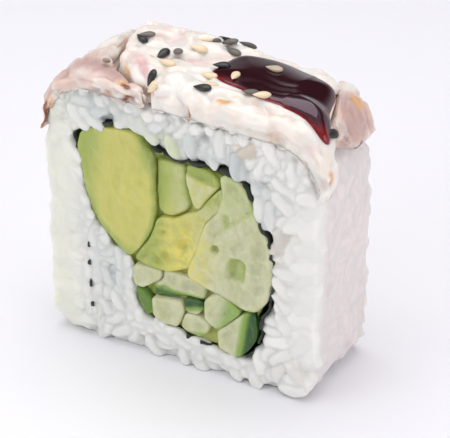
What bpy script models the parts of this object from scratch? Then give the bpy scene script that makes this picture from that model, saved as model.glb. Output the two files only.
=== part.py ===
"""A slice of an uramaki roll, standing on its flat base.

Rice wraps a spiral sheet of nori, which wraps sticks of avocado and cucumber.
Fish is draped over the top, with thick sauce and sesame seeds on it.

The front cut faces -Y, X runs across the cut and Z is up. The origin is the
middle of the base. Sizes are in millimetres and become metres in each mesh.
"""

import math
import random
from dataclasses import dataclass

import bmesh
import bpy
import numpy as np
from mathutils import Matrix, Vector

MM = 0.001
SEED = 11
GAP = 0.3

# The rice, outside its grains
ROLL_WIDTH = 53.8
RICE_TOP = 48.0
RICE_TOP_LEFT = 49.6
SIDE_BULGE = 0.45
GRAIN_COVER = 0.9
CORNER_RADII = {"bottom_right": 7.5, "top_right": 8.5, "top_left": 9.5, "bottom_left": 5.0}
FRONT_CUT = -11.5
BACK_CUT = 10.5
BACK_CUT_SLOPE = -0.043
FRONT_RECESS = 0.9

# The grains
GRAIN_LENGTH = 6.2
GRAIN_WIDTH = 2.9
GRAIN_SPACING = 3.35
GRAIN_TRIES = 9000
GRAIN_SUNK = 0.35

# The nori and how far the filling turns from the front cut to the back cut
NORI_THICKNESS = 0.5
NORI_STEP = 2.0
FILLING_TURN = math.radians(-6.0)

# The fish, laid along a drape line that runs up the left side, over the top and down the right
FISH_THICKNESS = 4.8
FISH_LIFT = 0.4
FISH_FRONT = -12.5
FISH_DROOP = 0.55
LEFT_HANG = 39.5
RIGHT_HANG = 40.0
DRAPE_PLACES = [
    2.0, 3.6, 5.4, 7.2, 9.0, 10.6, 11.9, 13.1, 13.9, 14.5, 15.1, 15.9, 17.1, 18.6, 20.4, 22.2, 24.0,
    25.6, 27.2, 28.8, 31.0, 33.2, 35.4, 37.6, 39.8, 42.0, 44.2, 46.4, 48.4, 50.2, 51.8, 53.0, 54.2,
    55.4, 56.6, 58.0, 59.4, 60.8,
]

# Points along the nori's middle line, from its inner end round to its outer end
NORI_LINE = [
    (-12.9, 20.0), (-10.4, 17.9), (-10.0, 14.5), (-9.2, 10.5), (-7.0, 7.6), (-3.5, 6.8),
    (3.0, 6.3), (7.3, 5.0), (10.8, 4.5), (13.6, 6.0), (15.5, 9.5), (16.0, 13.5),
    (17.3, 17.5), (18.2, 22.0), (18.0, 26.8), (16.2, 31.2), (14.7, 34.8), (12.8, 38.4),
    (9.5, 40.4), (4.5, 40.9), (-1.0, 40.5), (-4.2, 41.2), (-6.8, 43.6), (-11.0, 44.4),
    (-15.5, 43.6), (-19.3, 42.3), (-20.6, 39.0), (-19.9, 34.5), (-18.9, 29.0),
    (-18.4, 23.0), (-18.2, 16.0), (-18.2, 9.0), (-17.4, 4.6),
]

# Each piece of filling: its outline on the front cut, and how far it stands proud there
FILLING = {
    "avocado_slice": (0.1, "avocado", [
        (-19.8, 38.6), (-19.1, 41.3), (-17.0, 42.5), (-12.8, 43.3), (-9.3, 43.4), (-7.5, 42.6),
        (-5.8, 41.1), (-5.1, 39.6), (-4.8, 37.2), (-5.0, 34.5), (-4.9, 30.0), (-5.5, 26.3),
        (-6.6, 24.0), (-8.2, 21.6), (-9.9, 19.6), (-11.1, 20.1), (-12.3, 21.0), (-14.0, 22.2),
        (-16.0, 24.0), (-17.4, 26.2), (-18.1, 29.3), (-18.7, 32.3), (-19.4, 35.5),
    ]),
    "avocado_strip": (-0.3, "avocado_edge", [
        (-4.2, 39.8), (-1.5, 39.8), (1.0, 39.8), (1.3, 36.0), (1.9, 33.4), (1.3, 31.4),
        (-1.2, 29.5), (-3.3, 29.3), (-4.2, 30.6), (-4.4, 34.0),
    ]),
    "avocado_wedge": (0.2, "avocado", [
        (1.6, 39.9), (4.3, 40.1), (7.0, 38.9), (7.7, 37.6), (5.6, 35.0), (3.9, 32.4),
        (2.4, 33.4), (1.8, 36.0),
    ]),
    "avocado_middle": (-0.2, "avocado", [
        (-4.3, 28.2), (-3.0, 28.7), (-0.9, 28.9), (1.6, 30.6), (3.9, 31.7), (5.9, 34.6),
        (8.0, 37.0), (8.5, 35.6), (7.5, 32.8), (5.2, 30.2), (4.0, 26.8), (3.2, 23.6),
        (1.6, 20.3), (-2.2, 18.4), (-5.8, 18.3), (-8.9, 19.2), (-7.6, 21.4), (-5.9, 23.8),
        (-5.0, 26.0),
    ]),
    "cucumber_core": (0.3, "cucumber", [
        (8.6, 39.6), (11.0, 38.9), (12.6, 37.0), (13.9, 34.2), (15.3, 31.3), (16.7, 28.9),
        (17.3, 26.6), (17.4, 23.2), (17.1, 20.5), (16.2, 17.7), (14.6, 15.8), (12.6, 15.7),
        (8.1, 17.2), (4.2, 18.2), (2.1, 18.9), (2.5, 20.6), (3.8, 23.4), (4.6, 26.6),
        (5.8, 29.7), (8.1, 32.5), (9.1, 36.0),
    ]),
    "cucumber_stick_a": (0.0, "cucumber", [
        (-9.2, 17.7), (-6.6, 17.9), (-4.0, 17.9), (-4.0, 16.4), (-5.9, 15.0), (-7.7, 13.7),
        (-9.2, 13.9), (-9.4, 15.6),
    ]),
    "cucumber_stick_b": (-0.2, "cucumber_skin", [
        (-9.0, 13.2), (-7.6, 13.0), (-6.1, 11.5), (-5.8, 9.2), (-6.6, 8.3), (-7.9, 9.6),
        (-8.6, 11.2),
    ]),
    "cucumber_stick_c": (0.2, "cucumber", [
        (-5.5, 12.1), (-2.1, 12.6), (0.3, 12.7), (0.6, 10.9), (-0.6, 7.8), (-3.4, 7.8),
        (-5.3, 8.6),
    ]),
    "cucumber_strip": (-0.6, "cucumber_skin", [
        (-5.4, 14.6), (-3.6, 16.2), (-3.4, 17.9), (-1.9, 18.0), (2.0, 17.9), (4.8, 17.5),
        (4.6, 15.2), (4.3, 14.4), (0.6, 14.2), (-2.3, 13.2), (-4.9, 12.7),
    ]),
    "cucumber_bit": (-0.1, "cucumber_skin", [
        (0.9, 13.8), (3.0, 13.9), (4.7, 13.6), (3.4, 11.3), (1.1, 11.3),
    ]),
    "cucumber_stick_d": (0.4, "cucumber", [
        (5.2, 13.4), (5.2, 14.9), (7.5, 16.7), (10.2, 15.9), (11.9, 14.3), (9.5, 11.7),
        (7.5, 9.8), (5.2, 11.1),
    ]),
    "cucumber_stick_e": (0.3, "cucumber_skin", [
        (7.7, 9.3), (9.7, 11.2), (12.3, 13.9), (14.2, 14.9), (15.0, 13.4), (15.0, 10.1),
        (13.6, 7.4), (11.7, 5.5), (9.8, 5.6), (7.9, 6.2),
    ]),
    "cucumber_stick_f": (0.1, "cucumber", [
        (1.1, 10.7), (3.5, 10.9), (5.6, 10.1), (5.4, 8.3), (4.2, 7.2), (1.7, 7.3), (0.4, 8.0),
    ]),
}

# Each lobe or furrow of the fish: place along the drape, place along Y, radii, and height
FISH_LOBES = [
    (31.0, -9.0, 6.0, 3.2, 0.9), (42.0, -9.3, 7.0, 3.0, 1.0), (52.0, -8.6, 5.0, 3.4, 0.6),
    (24.0, -3.0, 5.0, 3.6, 0.8), (28.0, 6.5, 7.0, 4.5, 1.1), (38.0, 7.6, 7.0, 3.0, 0.4),
    (18.0, 4.5, 4.0, 4.5, -0.5), (22.5, 1.0, 2.2, 5.0, -0.7), (35.5, -10.8, 1.6, 2.6, -0.9),
    (12.0, -6.0, 4.0, 5.0, 0.4), (6.0, 2.0, 4.0, 6.0, 0.5),
]

# The sauce: place along the drape, place along Y, half its width, and its depth
SAUCE_RUN = [
    (33.0, -2.0, 0.8, 0.2), (33.8, -1.0, 2.6, 0.4), (36.0, -0.1, 4.1, 0.5), (39.0, 0.2, 5.2, 0.6),
    (41.5, 0.2, 5.8, 0.65), (44.5, -1.4, 6.7, 0.7), (47.0, -2.1, 6.3, 0.75), (50.0, -2.5, 5.7, 0.8),
    (52.0, -2.8, 5.6, 0.9), (54.0, -3.3, 5.2, 1.0), (55.0, -4.6, 4.2, 1.0), (55.8, -5.8, 3.2, 0.9),
    (56.6, -6.5, 2.4, 0.8), (57.4, -6.9, 1.7, 0.7), (58.2, -7.3, 0.9, 0.4),
]

# Each sesame seed: place along the drape, place along Y, and turn in degrees
MAIN_SEEDS = [
    (18.2, 1.8, -24), (17.8, 3.4, 40), (24.6, -2.1, 79), (26.3, -0.3, -51), (26.8, -9.0, 86),
    (36.6, -9.3, 4), (29.6, 9.4, -10), (30.1, 6.7, -55), (31.0, 9.2, 60), (32.0, 7.6, 20),
    (33.8, 5.8, -11), (34.6, 9.2, 29), (35.2, -1.0, 29), (43.8, -7.6, 27), (56.9, -5.6, 80),
    (34.7, -4.4, 7), (36.6, -7.1, 10), (39.3, -3.8, 100), (43.7, 1.4, 5), (46.1, -7.4, 39),
    (28.5, -11.1, 35), (27.4, -5.1, -2), (29.4, 1.9, 15), (28.7, 5.2, 30),
]
LEFT_SEEDS = [(16.4, -7.4, -52)]
SEED_SIZE = (3.0, 1.8, 1.0)
SEED_SUNK = 0.1

COLOURS = {
    "rice": ((0.86, 0.86, 0.82), 0.45),
    "nori": ((0.012, 0.02, 0.014), 0.5),
    "avocado": ((0.60, 0.62, 0.20), 0.5),
    "avocado_edge": ((0.38, 0.50, 0.16), 0.5),
    "cucumber": ((0.56, 0.63, 0.36), 0.35),
    "cucumber_skin": ((0.10, 0.25, 0.04), 0.35),
    "fish": ((0.88, 0.80, 0.74), 0.4),
    "fish_skin": ((0.62, 0.42, 0.34), 0.4),
}


def clear_scene():
    """Removes what the scene holds."""
    for obj in list(bpy.data.objects):
        bpy.data.objects.remove(obj, do_unlink=True)


def new_collection(name):
    collection = bpy.data.collections.new(name)
    bpy.context.scene.collection.children.link(collection)
    return collection


def finish_of(name):
    """The material of that name, made the first time it is asked for."""
    material = bpy.data.materials.get(name)
    if material is None:
        colour, roughness = COLOURS[name]
        material = bpy.data.materials.new(name)
        material.use_nodes = True
        shader = material.node_tree.nodes["Principled BSDF"]
        shader.inputs["Base Color"].default_value = (*colour, 1.0)
        shader.inputs["Roughness"].default_value = roughness
        shader.inputs["Metallic"].default_value = 0.0
    return material


def add_object(name, mesh, collection, finish):
    obj = bpy.data.objects.new(name, mesh)
    obj.data.materials.append(finish_of(finish))
    collection.objects.link(obj)
    return obj


def smooth_line(points, step):
    """A Catmull-Rom curve through the points, sampled about every step."""
    points = np.array(points, float)
    ends = np.vstack([2 * points[0] - points[1], points, 2 * points[-1] - points[-2]])
    line = []
    for a, b, c, d in zip(ends, ends[1:], ends[2:], ends[3:]):
        count = max(1, round(float(np.linalg.norm(c - b)) / step))
        for t in np.arange(count) / count:
            line.append(0.5 * (2 * b + (c - a) * t + (2 * a - 5 * b + 4 * c - d) * t**2
                               + (3 * b - a - 3 * c + d) * t**3))
    return np.array([*line, points[-1]])


def offset_line(line, distance):
    """The line moved sideways by distance, to the right of its direction."""
    along = np.gradient(line, axis=0)
    along /= np.linalg.norm(along, axis=1, keepdims=True)
    return line + distance * np.stack([along[:, 1], -along[:, 0]], axis=1)


def corner_arc(centre, radius, start, steps=6):
    """A quarter turn round centre, counterclockwise from the start angle in degrees."""
    angles = np.radians(start + 90.0 * np.arange(steps + 1) / steps)
    return [(centre[0] + radius * math.cos(a), centre[1] + radius * math.sin(a)) for a in angles]


def side_bulges(side, half, start, end):
    """Points up or down a side between two heights, a little in or out of line."""
    heights = np.linspace(start, end, 8)[1:-1]
    return [(side * (half + SIDE_BULGE * math.sin(0.36 * z - 0.9 * side)), z) for z in heights]


def rice_outline(inset):
    """The rice's rounded outline on the cut, counterclockwise from the bottom right corner."""
    half = ROLL_WIDTH / 2 - inset
    outline = []
    places = {
        "bottom_right": (1, 0, -90), "top_right": (1, RICE_TOP, 0),
        "top_left": (-1, RICE_TOP_LEFT, 90), "bottom_left": (-1, 0, 180),
    }
    for corner, (side, z, start) in places.items():
        radius = CORNER_RADII[corner]
        inwards = radius if z == 0 else -radius
        outline += corner_arc((side * (half - radius), z + inwards), radius, start)
        if corner in ("bottom_right", "top_left"):
            away = CORNER_RADII["top_right"] if side > 0 else CORNER_RADII["bottom_left"]
            outline += side_bulges(side, half, z + inwards, RICE_TOP - away if side > 0 else away)
    return np.array(outline)


def filling_hole():
    """The outline of the rice's inside: outside the nori all round, and round its outer end."""
    line = smooth_line(NORI_LINE, NORI_STEP)
    clear = NORI_THICKNESS / 2 + GAP
    outside = offset_line(line, clear)
    inside = offset_line(line, -clear)
    along = (line[-1] - line[-2]) / np.linalg.norm(line[-1] - line[-2])
    end = line[-1] + clear * along
    # The inside edge is followed back up until it is level with the nori's inner end.
    up = inside[::-1]
    level = int(np.argmax(up[:, 1] > line[0][1] + 3.4))
    return np.array([*outside, end, *up[:level]])


def knife(x, share):
    """The Y of the front cut where share is 0, and of the slightly slanted back cut where it is 1."""
    return FRONT_CUT + share * (BACK_CUT + BACK_CUT_SLOPE * x - FRONT_CUT)


def settle(x, z, share):
    """Turns the filling a little from the front cut to the back one, and leaves the outside alone."""
    middle_z = RICE_TOP / 2
    edge = (abs(x) / (ROLL_WIDTH / 2)) ** 4 + (abs(z - middle_z) / middle_z) ** 4
    turn = FILLING_TURN * share * max(0.0, 1.0 - edge)
    cos, sin = math.cos(turn), math.sin(turn)
    return x * cos - (z - middle_z) * sin, middle_z + x * sin + (z - middle_z) * cos


def closed(shape, mesh):
    """Puts a closed shape into the mesh with its faces outwards."""
    bmesh.ops.recalc_face_normals(shape, faces=shape.faces)
    if shape.calc_volume(signed=True) < 0:
        bmesh.ops.reverse_faces(shape, faces=shape.faces)
    shape.to_mesh(mesh)
    shape.free()
    return mesh


def prism(name, outlines, front_proud=0.0, back_proud=0.0):
    """A mesh of the outlines, cut through from the front knife cut to the back one."""
    curve = bpy.data.curves.new(name, "CURVE")
    curve.dimensions = "2D"
    curve.fill_mode = "BOTH"
    curve.extrude = 0.5
    for outline in outlines:
        spline = curve.splines.new("POLY")
        spline.points.add(len(outline) - 1)
        for point, (x, z) in zip(spline.points, outline):
            point.co = (x, z, 0.0, 1.0)
        spline.use_cyclic_u = True
    drawn = bpy.data.objects.new(name, curve)
    bpy.context.scene.collection.objects.link(drawn)
    graph = bpy.context.evaluated_depsgraph_get()
    mesh = bpy.data.meshes.new_from_object(drawn.evaluated_get(graph))
    bpy.data.objects.remove(drawn)
    shape = bmesh.new()
    shape.from_mesh(mesh)
    bmesh.ops.remove_doubles(shape, verts=shape.verts, dist=0.001)
    for vertex in shape.verts:
        x, z, depth = vertex.co
        share = 0.0 if depth > 0 else 1.0
        proud = back_proud if share else -front_proud
        x, z = settle(x, z, share)
        vertex.co = Vector((x, knife(x, share) + proud, z)) * MM
    return closed(shape, mesh)


def ellipsoid(size, sides, rings):
    """A mesh of an ellipsoid of that size, its poles along X."""
    shape = bmesh.new()
    bmesh.ops.create_uvsphere(shape, u_segments=sides, v_segments=rings, radius=0.5)
    turn = Matrix.Rotation(math.radians(90.0), 4, "Y")
    scale = Matrix.Diagonal((*size, 1.0))
    bmesh.ops.transform(shape, matrix=Matrix.Scale(MM, 4) @ scale @ turn, verts=shape.verts)
    mesh = bpy.data.meshes.new("ellipsoid")
    shape.to_mesh(mesh)
    shape.free()
    return mesh


def largest_shell(mesh):
    """The mesh without its smaller closed shells, which are sealed hollows or loose scraps."""
    shape = bmesh.new()
    shape.from_mesh(mesh)
    waiting = set(shape.faces)
    shells = []
    while waiting:
        shell = [waiting.pop()]
        for face in shell:
            near = {other for edge in face.edges for other in edge.link_faces} & waiting
            waiting -= near
            shell.extend(near)
        shells.append(shell)
    shells.sort(key=len)
    scraps = [face for shell in shells[:-1] for face in shell]
    bmesh.ops.delete(shape, geom=scraps, context="FACES")
    return closed(shape, mesh)


def join_all(body, pieces):
    """Joins the pieces to the body by one Boolean union, and removes them."""
    union = body.modifiers.new("Union", "BOOLEAN")
    union.operation = "UNION"
    union.operand_type = "COLLECTION"
    union.collection = pieces
    union.solver = "MANIFOLD"
    graph = bpy.context.evaluated_depsgraph_get()
    joined = bpy.data.meshes.new_from_object(body.evaluated_get(graph))
    body.modifiers.clear()
    body.data = largest_shell(joined)
    for obj in list(pieces.objects):
        bpy.data.objects.remove(obj)
    bpy.data.collections.remove(pieces)


def distance_to(outline, point):
    """The distance from a point to a closed outline."""
    a, b = outline, np.roll(outline, -1, axis=0)
    along = b - a
    share = np.clip(((point - a) * along).sum(1) / (along**2).sum(1), 0, 1)
    return float(np.linalg.norm(a + share[:, None] * along - point, axis=1).min())


def inside(outline, point):
    """True where the point is inside the closed outline, by counting crossings."""
    a, b = outline, np.roll(outline, -1, axis=0)
    straddles = (a[:, 1] > point[1]) != (b[:, 1] > point[1])
    rise = np.where(b[:, 1] == a[:, 1], 1e-9, b[:, 1] - a[:, 1])
    crossing = a[:, 0] + (point[1] - a[:, 1]) / rise * (b[:, 0] - a[:, 0])
    return bool((straddles & (point[0] < crossing)).sum() % 2)


def cut_face_grains(rng, hole, share):
    """Grains lying on a cut face, clear of the nori, the fish and the base: places and turns."""
    core = rice_outline(GRAIN_COVER)
    hole = np.array([settle(x, z, share) for x, z in hole])
    reach, lowest, highest = GRAIN_LENGTH / 2, GRAIN_WIDTH / 2 + 0.1, RICE_TOP - 2.2
    outwards = -1 if share == 0 else 1
    for _ in range(GRAIN_TRIES):
        place = np.array([rng.uniform(-1, 1) * ROLL_WIDTH / 2, rng.uniform(lowest, highest)])
        angle = rng.uniform(0, math.pi)
        half = (reach - GRAIN_WIDTH / 2) * np.array([math.cos(angle), math.sin(angle)])
        tips = [place, place + half, place - half]
        clear = all(
            inside(core, tip) and not inside(hole, tip)
            and distance_to(hole, tip) > GRAIN_WIDTH / 2 + GAP
            and (tip[1] < RIGHT_HANG - 4.0 or distance_to(core, tip) > GRAIN_WIDTH / 2)
            and lowest < tip[1] < highest
            for tip in tips
        )
        if clear:
            y = knife(place[0], share) - outwards * (FRONT_RECESS + GRAIN_SUNK)
            yield Vector((place[0], y, place[1])), Vector((0, outwards, 0)), -outwards * angle


def side_grains(rng):
    """Grains lying along the left and right sides and the lower corners."""
    outline = rice_outline(GRAIN_COVER)
    ends = np.roll(outline, -1, axis=0)
    lengths = np.linalg.norm(ends - outline, axis=1)
    lowest, highest = GRAIN_WIDTH / 2 + 0.1, LEFT_HANG - 2.0
    for _ in range(GRAIN_TRIES):
        place = rng.uniform(0, lengths.sum())
        edge = int(np.searchsorted(lengths.cumsum(), place))
        share = rng.random()
        x, z = outline[edge] + share * (ends[edge] - outline[edge])
        normal = np.array([ends[edge][1] - outline[edge][1], outline[edge][0] - ends[edge][0]])
        normal /= np.linalg.norm(normal)
        if lowest < z < highest:
            depth = rng.uniform(0.07, 0.93)
            x, z = np.array([x, z]) - GRAIN_SUNK * normal
            z = max(z, lowest)
            yield Vector((x, knife(x, depth), z)), Vector((normal[0], 0, normal[1])), rng.uniform(0, math.pi)


def add_rice(collection):
    """The rice: a core through which the hole for nori and filling runs, with grains fused on."""
    rng = random.Random(SEED)
    hole = filling_hole()
    core = prism("rice", [rice_outline(GRAIN_COVER), hole], -FRONT_RECESS, -FRONT_RECESS)
    rice = add_object("rice", core, collection, "rice")
    grains = new_collection("grains")
    placed = []
    for source in (cut_face_grains(rng, hole, 0), cut_face_grains(rng, hole, 1), side_grains(rng)):
        for place, normal, turn in source:
            facing = normal.to_track_quat("Z", "Y").to_matrix().to_4x4()
            long = facing @ Vector((math.cos(turn), math.sin(turn), 0.0))
            _, deep, tall = (GRAIN_WIDTH / 2 + abs(a) * (GRAIN_LENGTH - GRAIN_WIDTH) / 2 for a in long)
            past_cut = max(FRONT_CUT - place.y + deep, place.y + deep - knife(place.x, 1)) > 0.4
            crowded = any((place - other).length < GRAIN_SPACING for other in placed)
            if crowded or past_cut or place.z < tall + 0.1:
                continue
            placed.append(place)
            size = (GRAIN_LENGTH * rng.uniform(0.85, 1.0), GRAIN_WIDTH * rng.uniform(0.9, 1.05), GRAIN_WIDTH)
            grain = bpy.data.objects.new("grain", ellipsoid(size, 5, 4))
            grain.matrix_world = (
                Matrix.Translation(place * MM) @ facing @ Matrix.Rotation(turn, 4, "Z")
            )
            grains.objects.link(grain)
    bpy.context.view_layer.update()
    join_all(rice, grains)
    return rice


def add_nori(collection):
    """The nori: a strip that follows its spiral line, through from cut to cut."""
    line = smooth_line(NORI_LINE, NORI_STEP)
    half = NORI_THICKNESS / 2
    strip = np.array([*offset_line(line, half), *offset_line(line, -half)[::-1]])
    return add_object("nori", prism("nori", [strip], -0.5, -0.5), collection, "nori")


def add_filling(collection):
    """The avocado and cucumber, each piece through from cut to cut."""
    for name, (proud, finish, outline) in FILLING.items():
        add_object(name, prism(name, [outline], proud - 0.3, proud - 0.3), collection, finish)


def drape_line():
    """The line that the fish lies on: up the left side, over the top and down the right side."""
    half = ROLL_WIDTH / 2 - GRAIN_COVER + FISH_LIFT
    left, right = CORNER_RADII["top_left"], CORNER_RADII["top_right"]
    points = [(-half, LEFT_HANG)]
    points += corner_arc((left - half, RICE_TOP_LEFT + FISH_LIFT - left), left, 90, 8)[::-1]
    points += corner_arc((half - right, RICE_TOP + FISH_LIFT - right), right, 0, 8)[::-1]
    points += [(half, RIGHT_HANG - 8.0)]
    return np.array(points)


DRAPE = drape_line()
DRAPE_LENGTHS = np.concatenate([[0.0], np.linalg.norm(np.diff(DRAPE, axis=0), axis=1).cumsum()])
RIGHT_END = float(np.interp(-RIGHT_HANG, -DRAPE[-2:, 1], DRAPE_LENGTHS[-2:]))


def on_drape(along, y, lift):
    """The point at that length along the drape, at that Y, lifted off the rice along its normal."""
    x, z = (np.interp(along, DRAPE_LENGTHS, DRAPE[:, axis]) for axis in (0, 1))
    around = [along - 0.8, along + 0.8]
    dx, dz = (float(np.diff(np.interp(around, DRAPE_LENGTHS, DRAPE[:, axis]))[0]) for axis in (0, 1))
    length = math.hypot(dx, dz)
    return Vector((x - lift * dz / length, y, z + lift * dx / length))


def at(line, along):
    """The value there of a line given as (place, value) pairs."""
    places, values = zip(*line)
    return float(np.interp(along, places, values))


def fish_thickness(along, y):
    """The fish's thickness there: lobes and furrows on an even slab."""
    thickness = FISH_THICKNESS
    for s, place_y, long, wide, height in FISH_LOBES:
        thickness += height * math.exp(-((along - s) / long) ** 2 - ((y - place_y) / wide) ** 2)
    return thickness


@dataclass
class Slice:
    """A slice of fish along the drape: its ends, its edges along Y, and how thick it is of full."""

    start: float
    end: float
    taper: float
    front: list
    back: list
    scale: list

    def fullness(self, along):
        """1 along most of the slice, rounding down to its two ends."""
        near_end = min(1.0, (along - self.start) / self.taper, (self.end - along) / self.taper)
        return math.sqrt(max(0.04, 1 - (1 - max(0.0, near_end)) ** 2))

    def lift(self, along, y):
        """The height of the slice's surface over the drape."""
        front, back = at(self.front, along), at(self.back, along)
        across = max(-1.0, min(1.0, (2 * y - front - back) / (back - front)))
        rise = (1 - abs(across) ** (5.0 if across > 0 else 3.2)) ** 0.275
        return max(0.25, fish_thickness(along, y) * at(self.scale, along) * self.fullness(along) * rise)

    def section(self, along):
        """One section across the slice: a rounded back and a flat underside, drooping in front."""
        front, back = at(self.front, along), at(self.back, along)
        middle, half = (front + back) / 2, (back - front) / 2
        loop = []
        for i in range(13):
            turn = math.cos(math.pi * i / 12)
            y = middle - half * math.copysign(abs(turn) ** 0.62, turn)
            loop.append(on_drape(along, y, self.lift(along, y)))
        inner = back - 0.2 * half
        if front < FRONT_CUT - 0.5:
            loop[0] = on_drape(along, front, 0.25 + 0.6 * self.fullness(along))
            outer = FRONT_CUT + 0.6
            loop += [on_drape(along, y, 0.0) for y in (inner, (inner + outer) / 2, outer)]
            loop.append(on_drape(along, FRONT_CUT - 0.3, -FISH_DROOP * self.fullness(along)))
        else:
            outer = front + 0.2 * half
            loop += [on_drape(along, y, 0.0) for y in (inner, (inner + outer) / 2, outer)]
            loop.append(on_drape(along, front + 0.05 * half, 0.0))
        return loop

    def mesh(self, name):
        """The slice as a loft through its sections."""
        inner = [s for s in DRAPE_PLACES if self.start + 1.3 < s < self.end - 1.3]
        ends = [0.0, 0.3, 0.95]
        places = [self.start + e for e in ends] + inner + [self.end - e for e in ends[::-1]]
        return loft(name, [self.section(s) for s in places])


SEAM = [(13.2, 12.0), (14.5, 4.0), (15.4, -0.3), (17.3, -4.9), (20.4, -7.8), (23.4, -9.6), (27.0, -10.4)]
LEFT_SLICE = Slice(
    1.2, 27.0, 2.6,
    [(1.2, FISH_FRONT)],
    [(1.2, 10.2), (3.5, 11.4), (10.8, 11.6)] + [(s - 0.25, y - 0.2) for s, y in SEAM],
    [(0.0, 0.42), (6.0, 0.5), (13.0, 0.68), (27.0, 0.55)],
)
MAIN_SLICE = Slice(
    13.7, RIGHT_END, 2.6,
    [(s + 0.25, y + 0.2) for s, y in SEAM] + [(28.8, FISH_FRONT)],
    [(11.0, 11.9), (30.0, 11.2), (46.0, 10.9), (51.0, 10.2), (52.4, 8.4), (54.0, 4.2), (55.0, 1.0),
     (55.8, -1.8), (57.4, -4.4), (58.8, -7.2), (RIGHT_END, -9.2)],
    [(13.0, 0.95), (20.0, 1.0), (50.0, 1.0), (56.0, 0.72), (RIGHT_END, 0.45)],
)
END_SLICE = Slice(
    51.9, 61.0, 2.4,
    [(52.0, 9.5), (52.8, 8.8), (54.4, 4.6), (55.4, 1.4), (56.2, -1.5), (57.2, -3.4), (58.6, -1.7),
     (59.8, 0.8), (61.0, 2.8)],
    [(52.0, 10.7), (54.0, 10.4), (61.0, 8.8)],
    [(52.0, 0.62), (54.0, 0.76), (57.0, 0.78), (61.0, 0.6)],
)


def loft(name, sections):
    """A closed mesh through the sections, which are closed loops of points, with both ends filled."""
    shape = bmesh.new()
    loops = [[shape.verts.new(point * MM) for point in section] for section in sections]
    for near, far in zip(loops, loops[1:]):
        for i in range(len(near)):
            j = (i + 1) % len(near)
            shape.faces.new((near[i], near[j], far[j], far[i]))
    shape.faces.new(loops[0][::-1])
    shape.faces.new(loops[-1])
    bmesh.ops.triangulate(shape, faces=[f for f in shape.faces if len(f.verts) > 4])
    return closed(shape, bpy.data.meshes.new(name))


def sauce_rise(along, y):
    """How far the sauce stands over the fish there, below nothing outside its edges."""
    run = np.array(SAUCE_RUN)
    if not run[0, 0] < along < run[-1, 0]:
        return -0.3
    middle, half, depth = (float(np.interp(along, run[:, 0], run[:, k])) for k in (1, 2, 3))
    across = min(1.0, abs(y - middle) / half)
    return (depth + 0.25) * (1 - across ** 2.4) ** 0.55 - 0.25


def sauce_mesh():
    """The sauce: a thick run with a rounded surface, sunk into the fish so that it fuses."""
    sections = []
    run = np.array(SAUCE_RUN)
    inner = [s for s in DRAPE_PLACES if run[0, 0] + 0.6 < s < run[-1, 0] - 0.3]
    for s in [run[0, 0] + 0.01, run[0, 0] + 0.5, *inner, run[-1, 0] - 0.01]:
        middle, half = (float(np.interp(s, run[:, 0], run[:, k])) for k in (1, 2))
        ys = [middle - half * math.copysign(abs(t) ** 0.7, t) for t in np.cos(np.pi * np.arange(9) / 8)]
        loop = [on_drape(s, y, MAIN_SLICE.lift(s, y) + sauce_rise(s, y)) for y in ys]
        loop += [on_drape(s, middle + k * half, 0.45 * MAIN_SLICE.lift(s, middle)) for k in (0.6, 0, -0.6)]
        sections.append(loop)
    return loft("sauce", sections)


def add_slice(collection, name, piece, finish, seeds, toppings):
    """A slice of fish with its seeds, and any other toppings, fused on."""
    body = add_object(name, piece.mesh(name), collection, finish)
    fused = new_collection(name + "_toppings")
    for mesh in toppings:
        fused.objects.link(bpy.data.objects.new("topping", mesh))

    def top(s, y):
        return on_drape(s, y, piece.lift(s, y) + max(0.0, sauce_rise(s, y) if toppings else 0.0))

    for s, y, turn in seeds:
        normal = (top(s + 0.6, y) - top(s - 0.6, y)).cross(top(s, y + 0.6) - top(s, y - 0.6)).normalized()
        facing = normal.to_track_quat("Z", "X").to_matrix().to_4x4()
        place = top(s, y) + normal * (SEED_SIZE[2] / 2 - SEED_SUNK - 0.25)
        seed = bpy.data.objects.new("seed", ellipsoid(SEED_SIZE, 5, 4))
        turned = Matrix.Rotation(math.radians(turn), 4, "Z")
        seed.matrix_world = Matrix.Translation(place * MM) @ facing @ turned
        fused.objects.link(seed)
    bpy.context.view_layer.update()
    if fused.objects:
        join_all(body, fused)
    return body


def main():
    clear_scene()
    roll = new_collection("uramaki_roll")
    add_rice(roll)
    add_nori(roll)
    add_filling(roll)
    add_slice(roll, "fish_slice_left", LEFT_SLICE, "fish_skin", LEFT_SEEDS, [])
    add_slice(roll, "fish_slice_main", MAIN_SLICE, "fish", MAIN_SEEDS, [sauce_mesh()])
    add_slice(roll, "fish_slice_end", END_SLICE, "fish_skin", [], [])


main()
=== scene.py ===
"""The looks of a slice of uramaki roll: rice grains, nori, avocado, cucumber, fish, sauce and sesame.

Each part of the food is a class that works out its surfaces with numpy and gives them a finish.
Sizes are in millimetres until a mesh is made. The front cut faces -Y, X runs across it and Z is up.
"""

import logging
import math
from dataclasses import dataclass, field
from enum import Enum
from typing import Callable

import bmesh
import bpy
import numpy as np
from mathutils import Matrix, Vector
from mathutils.geometry import delaunay_2d_cdt


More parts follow.
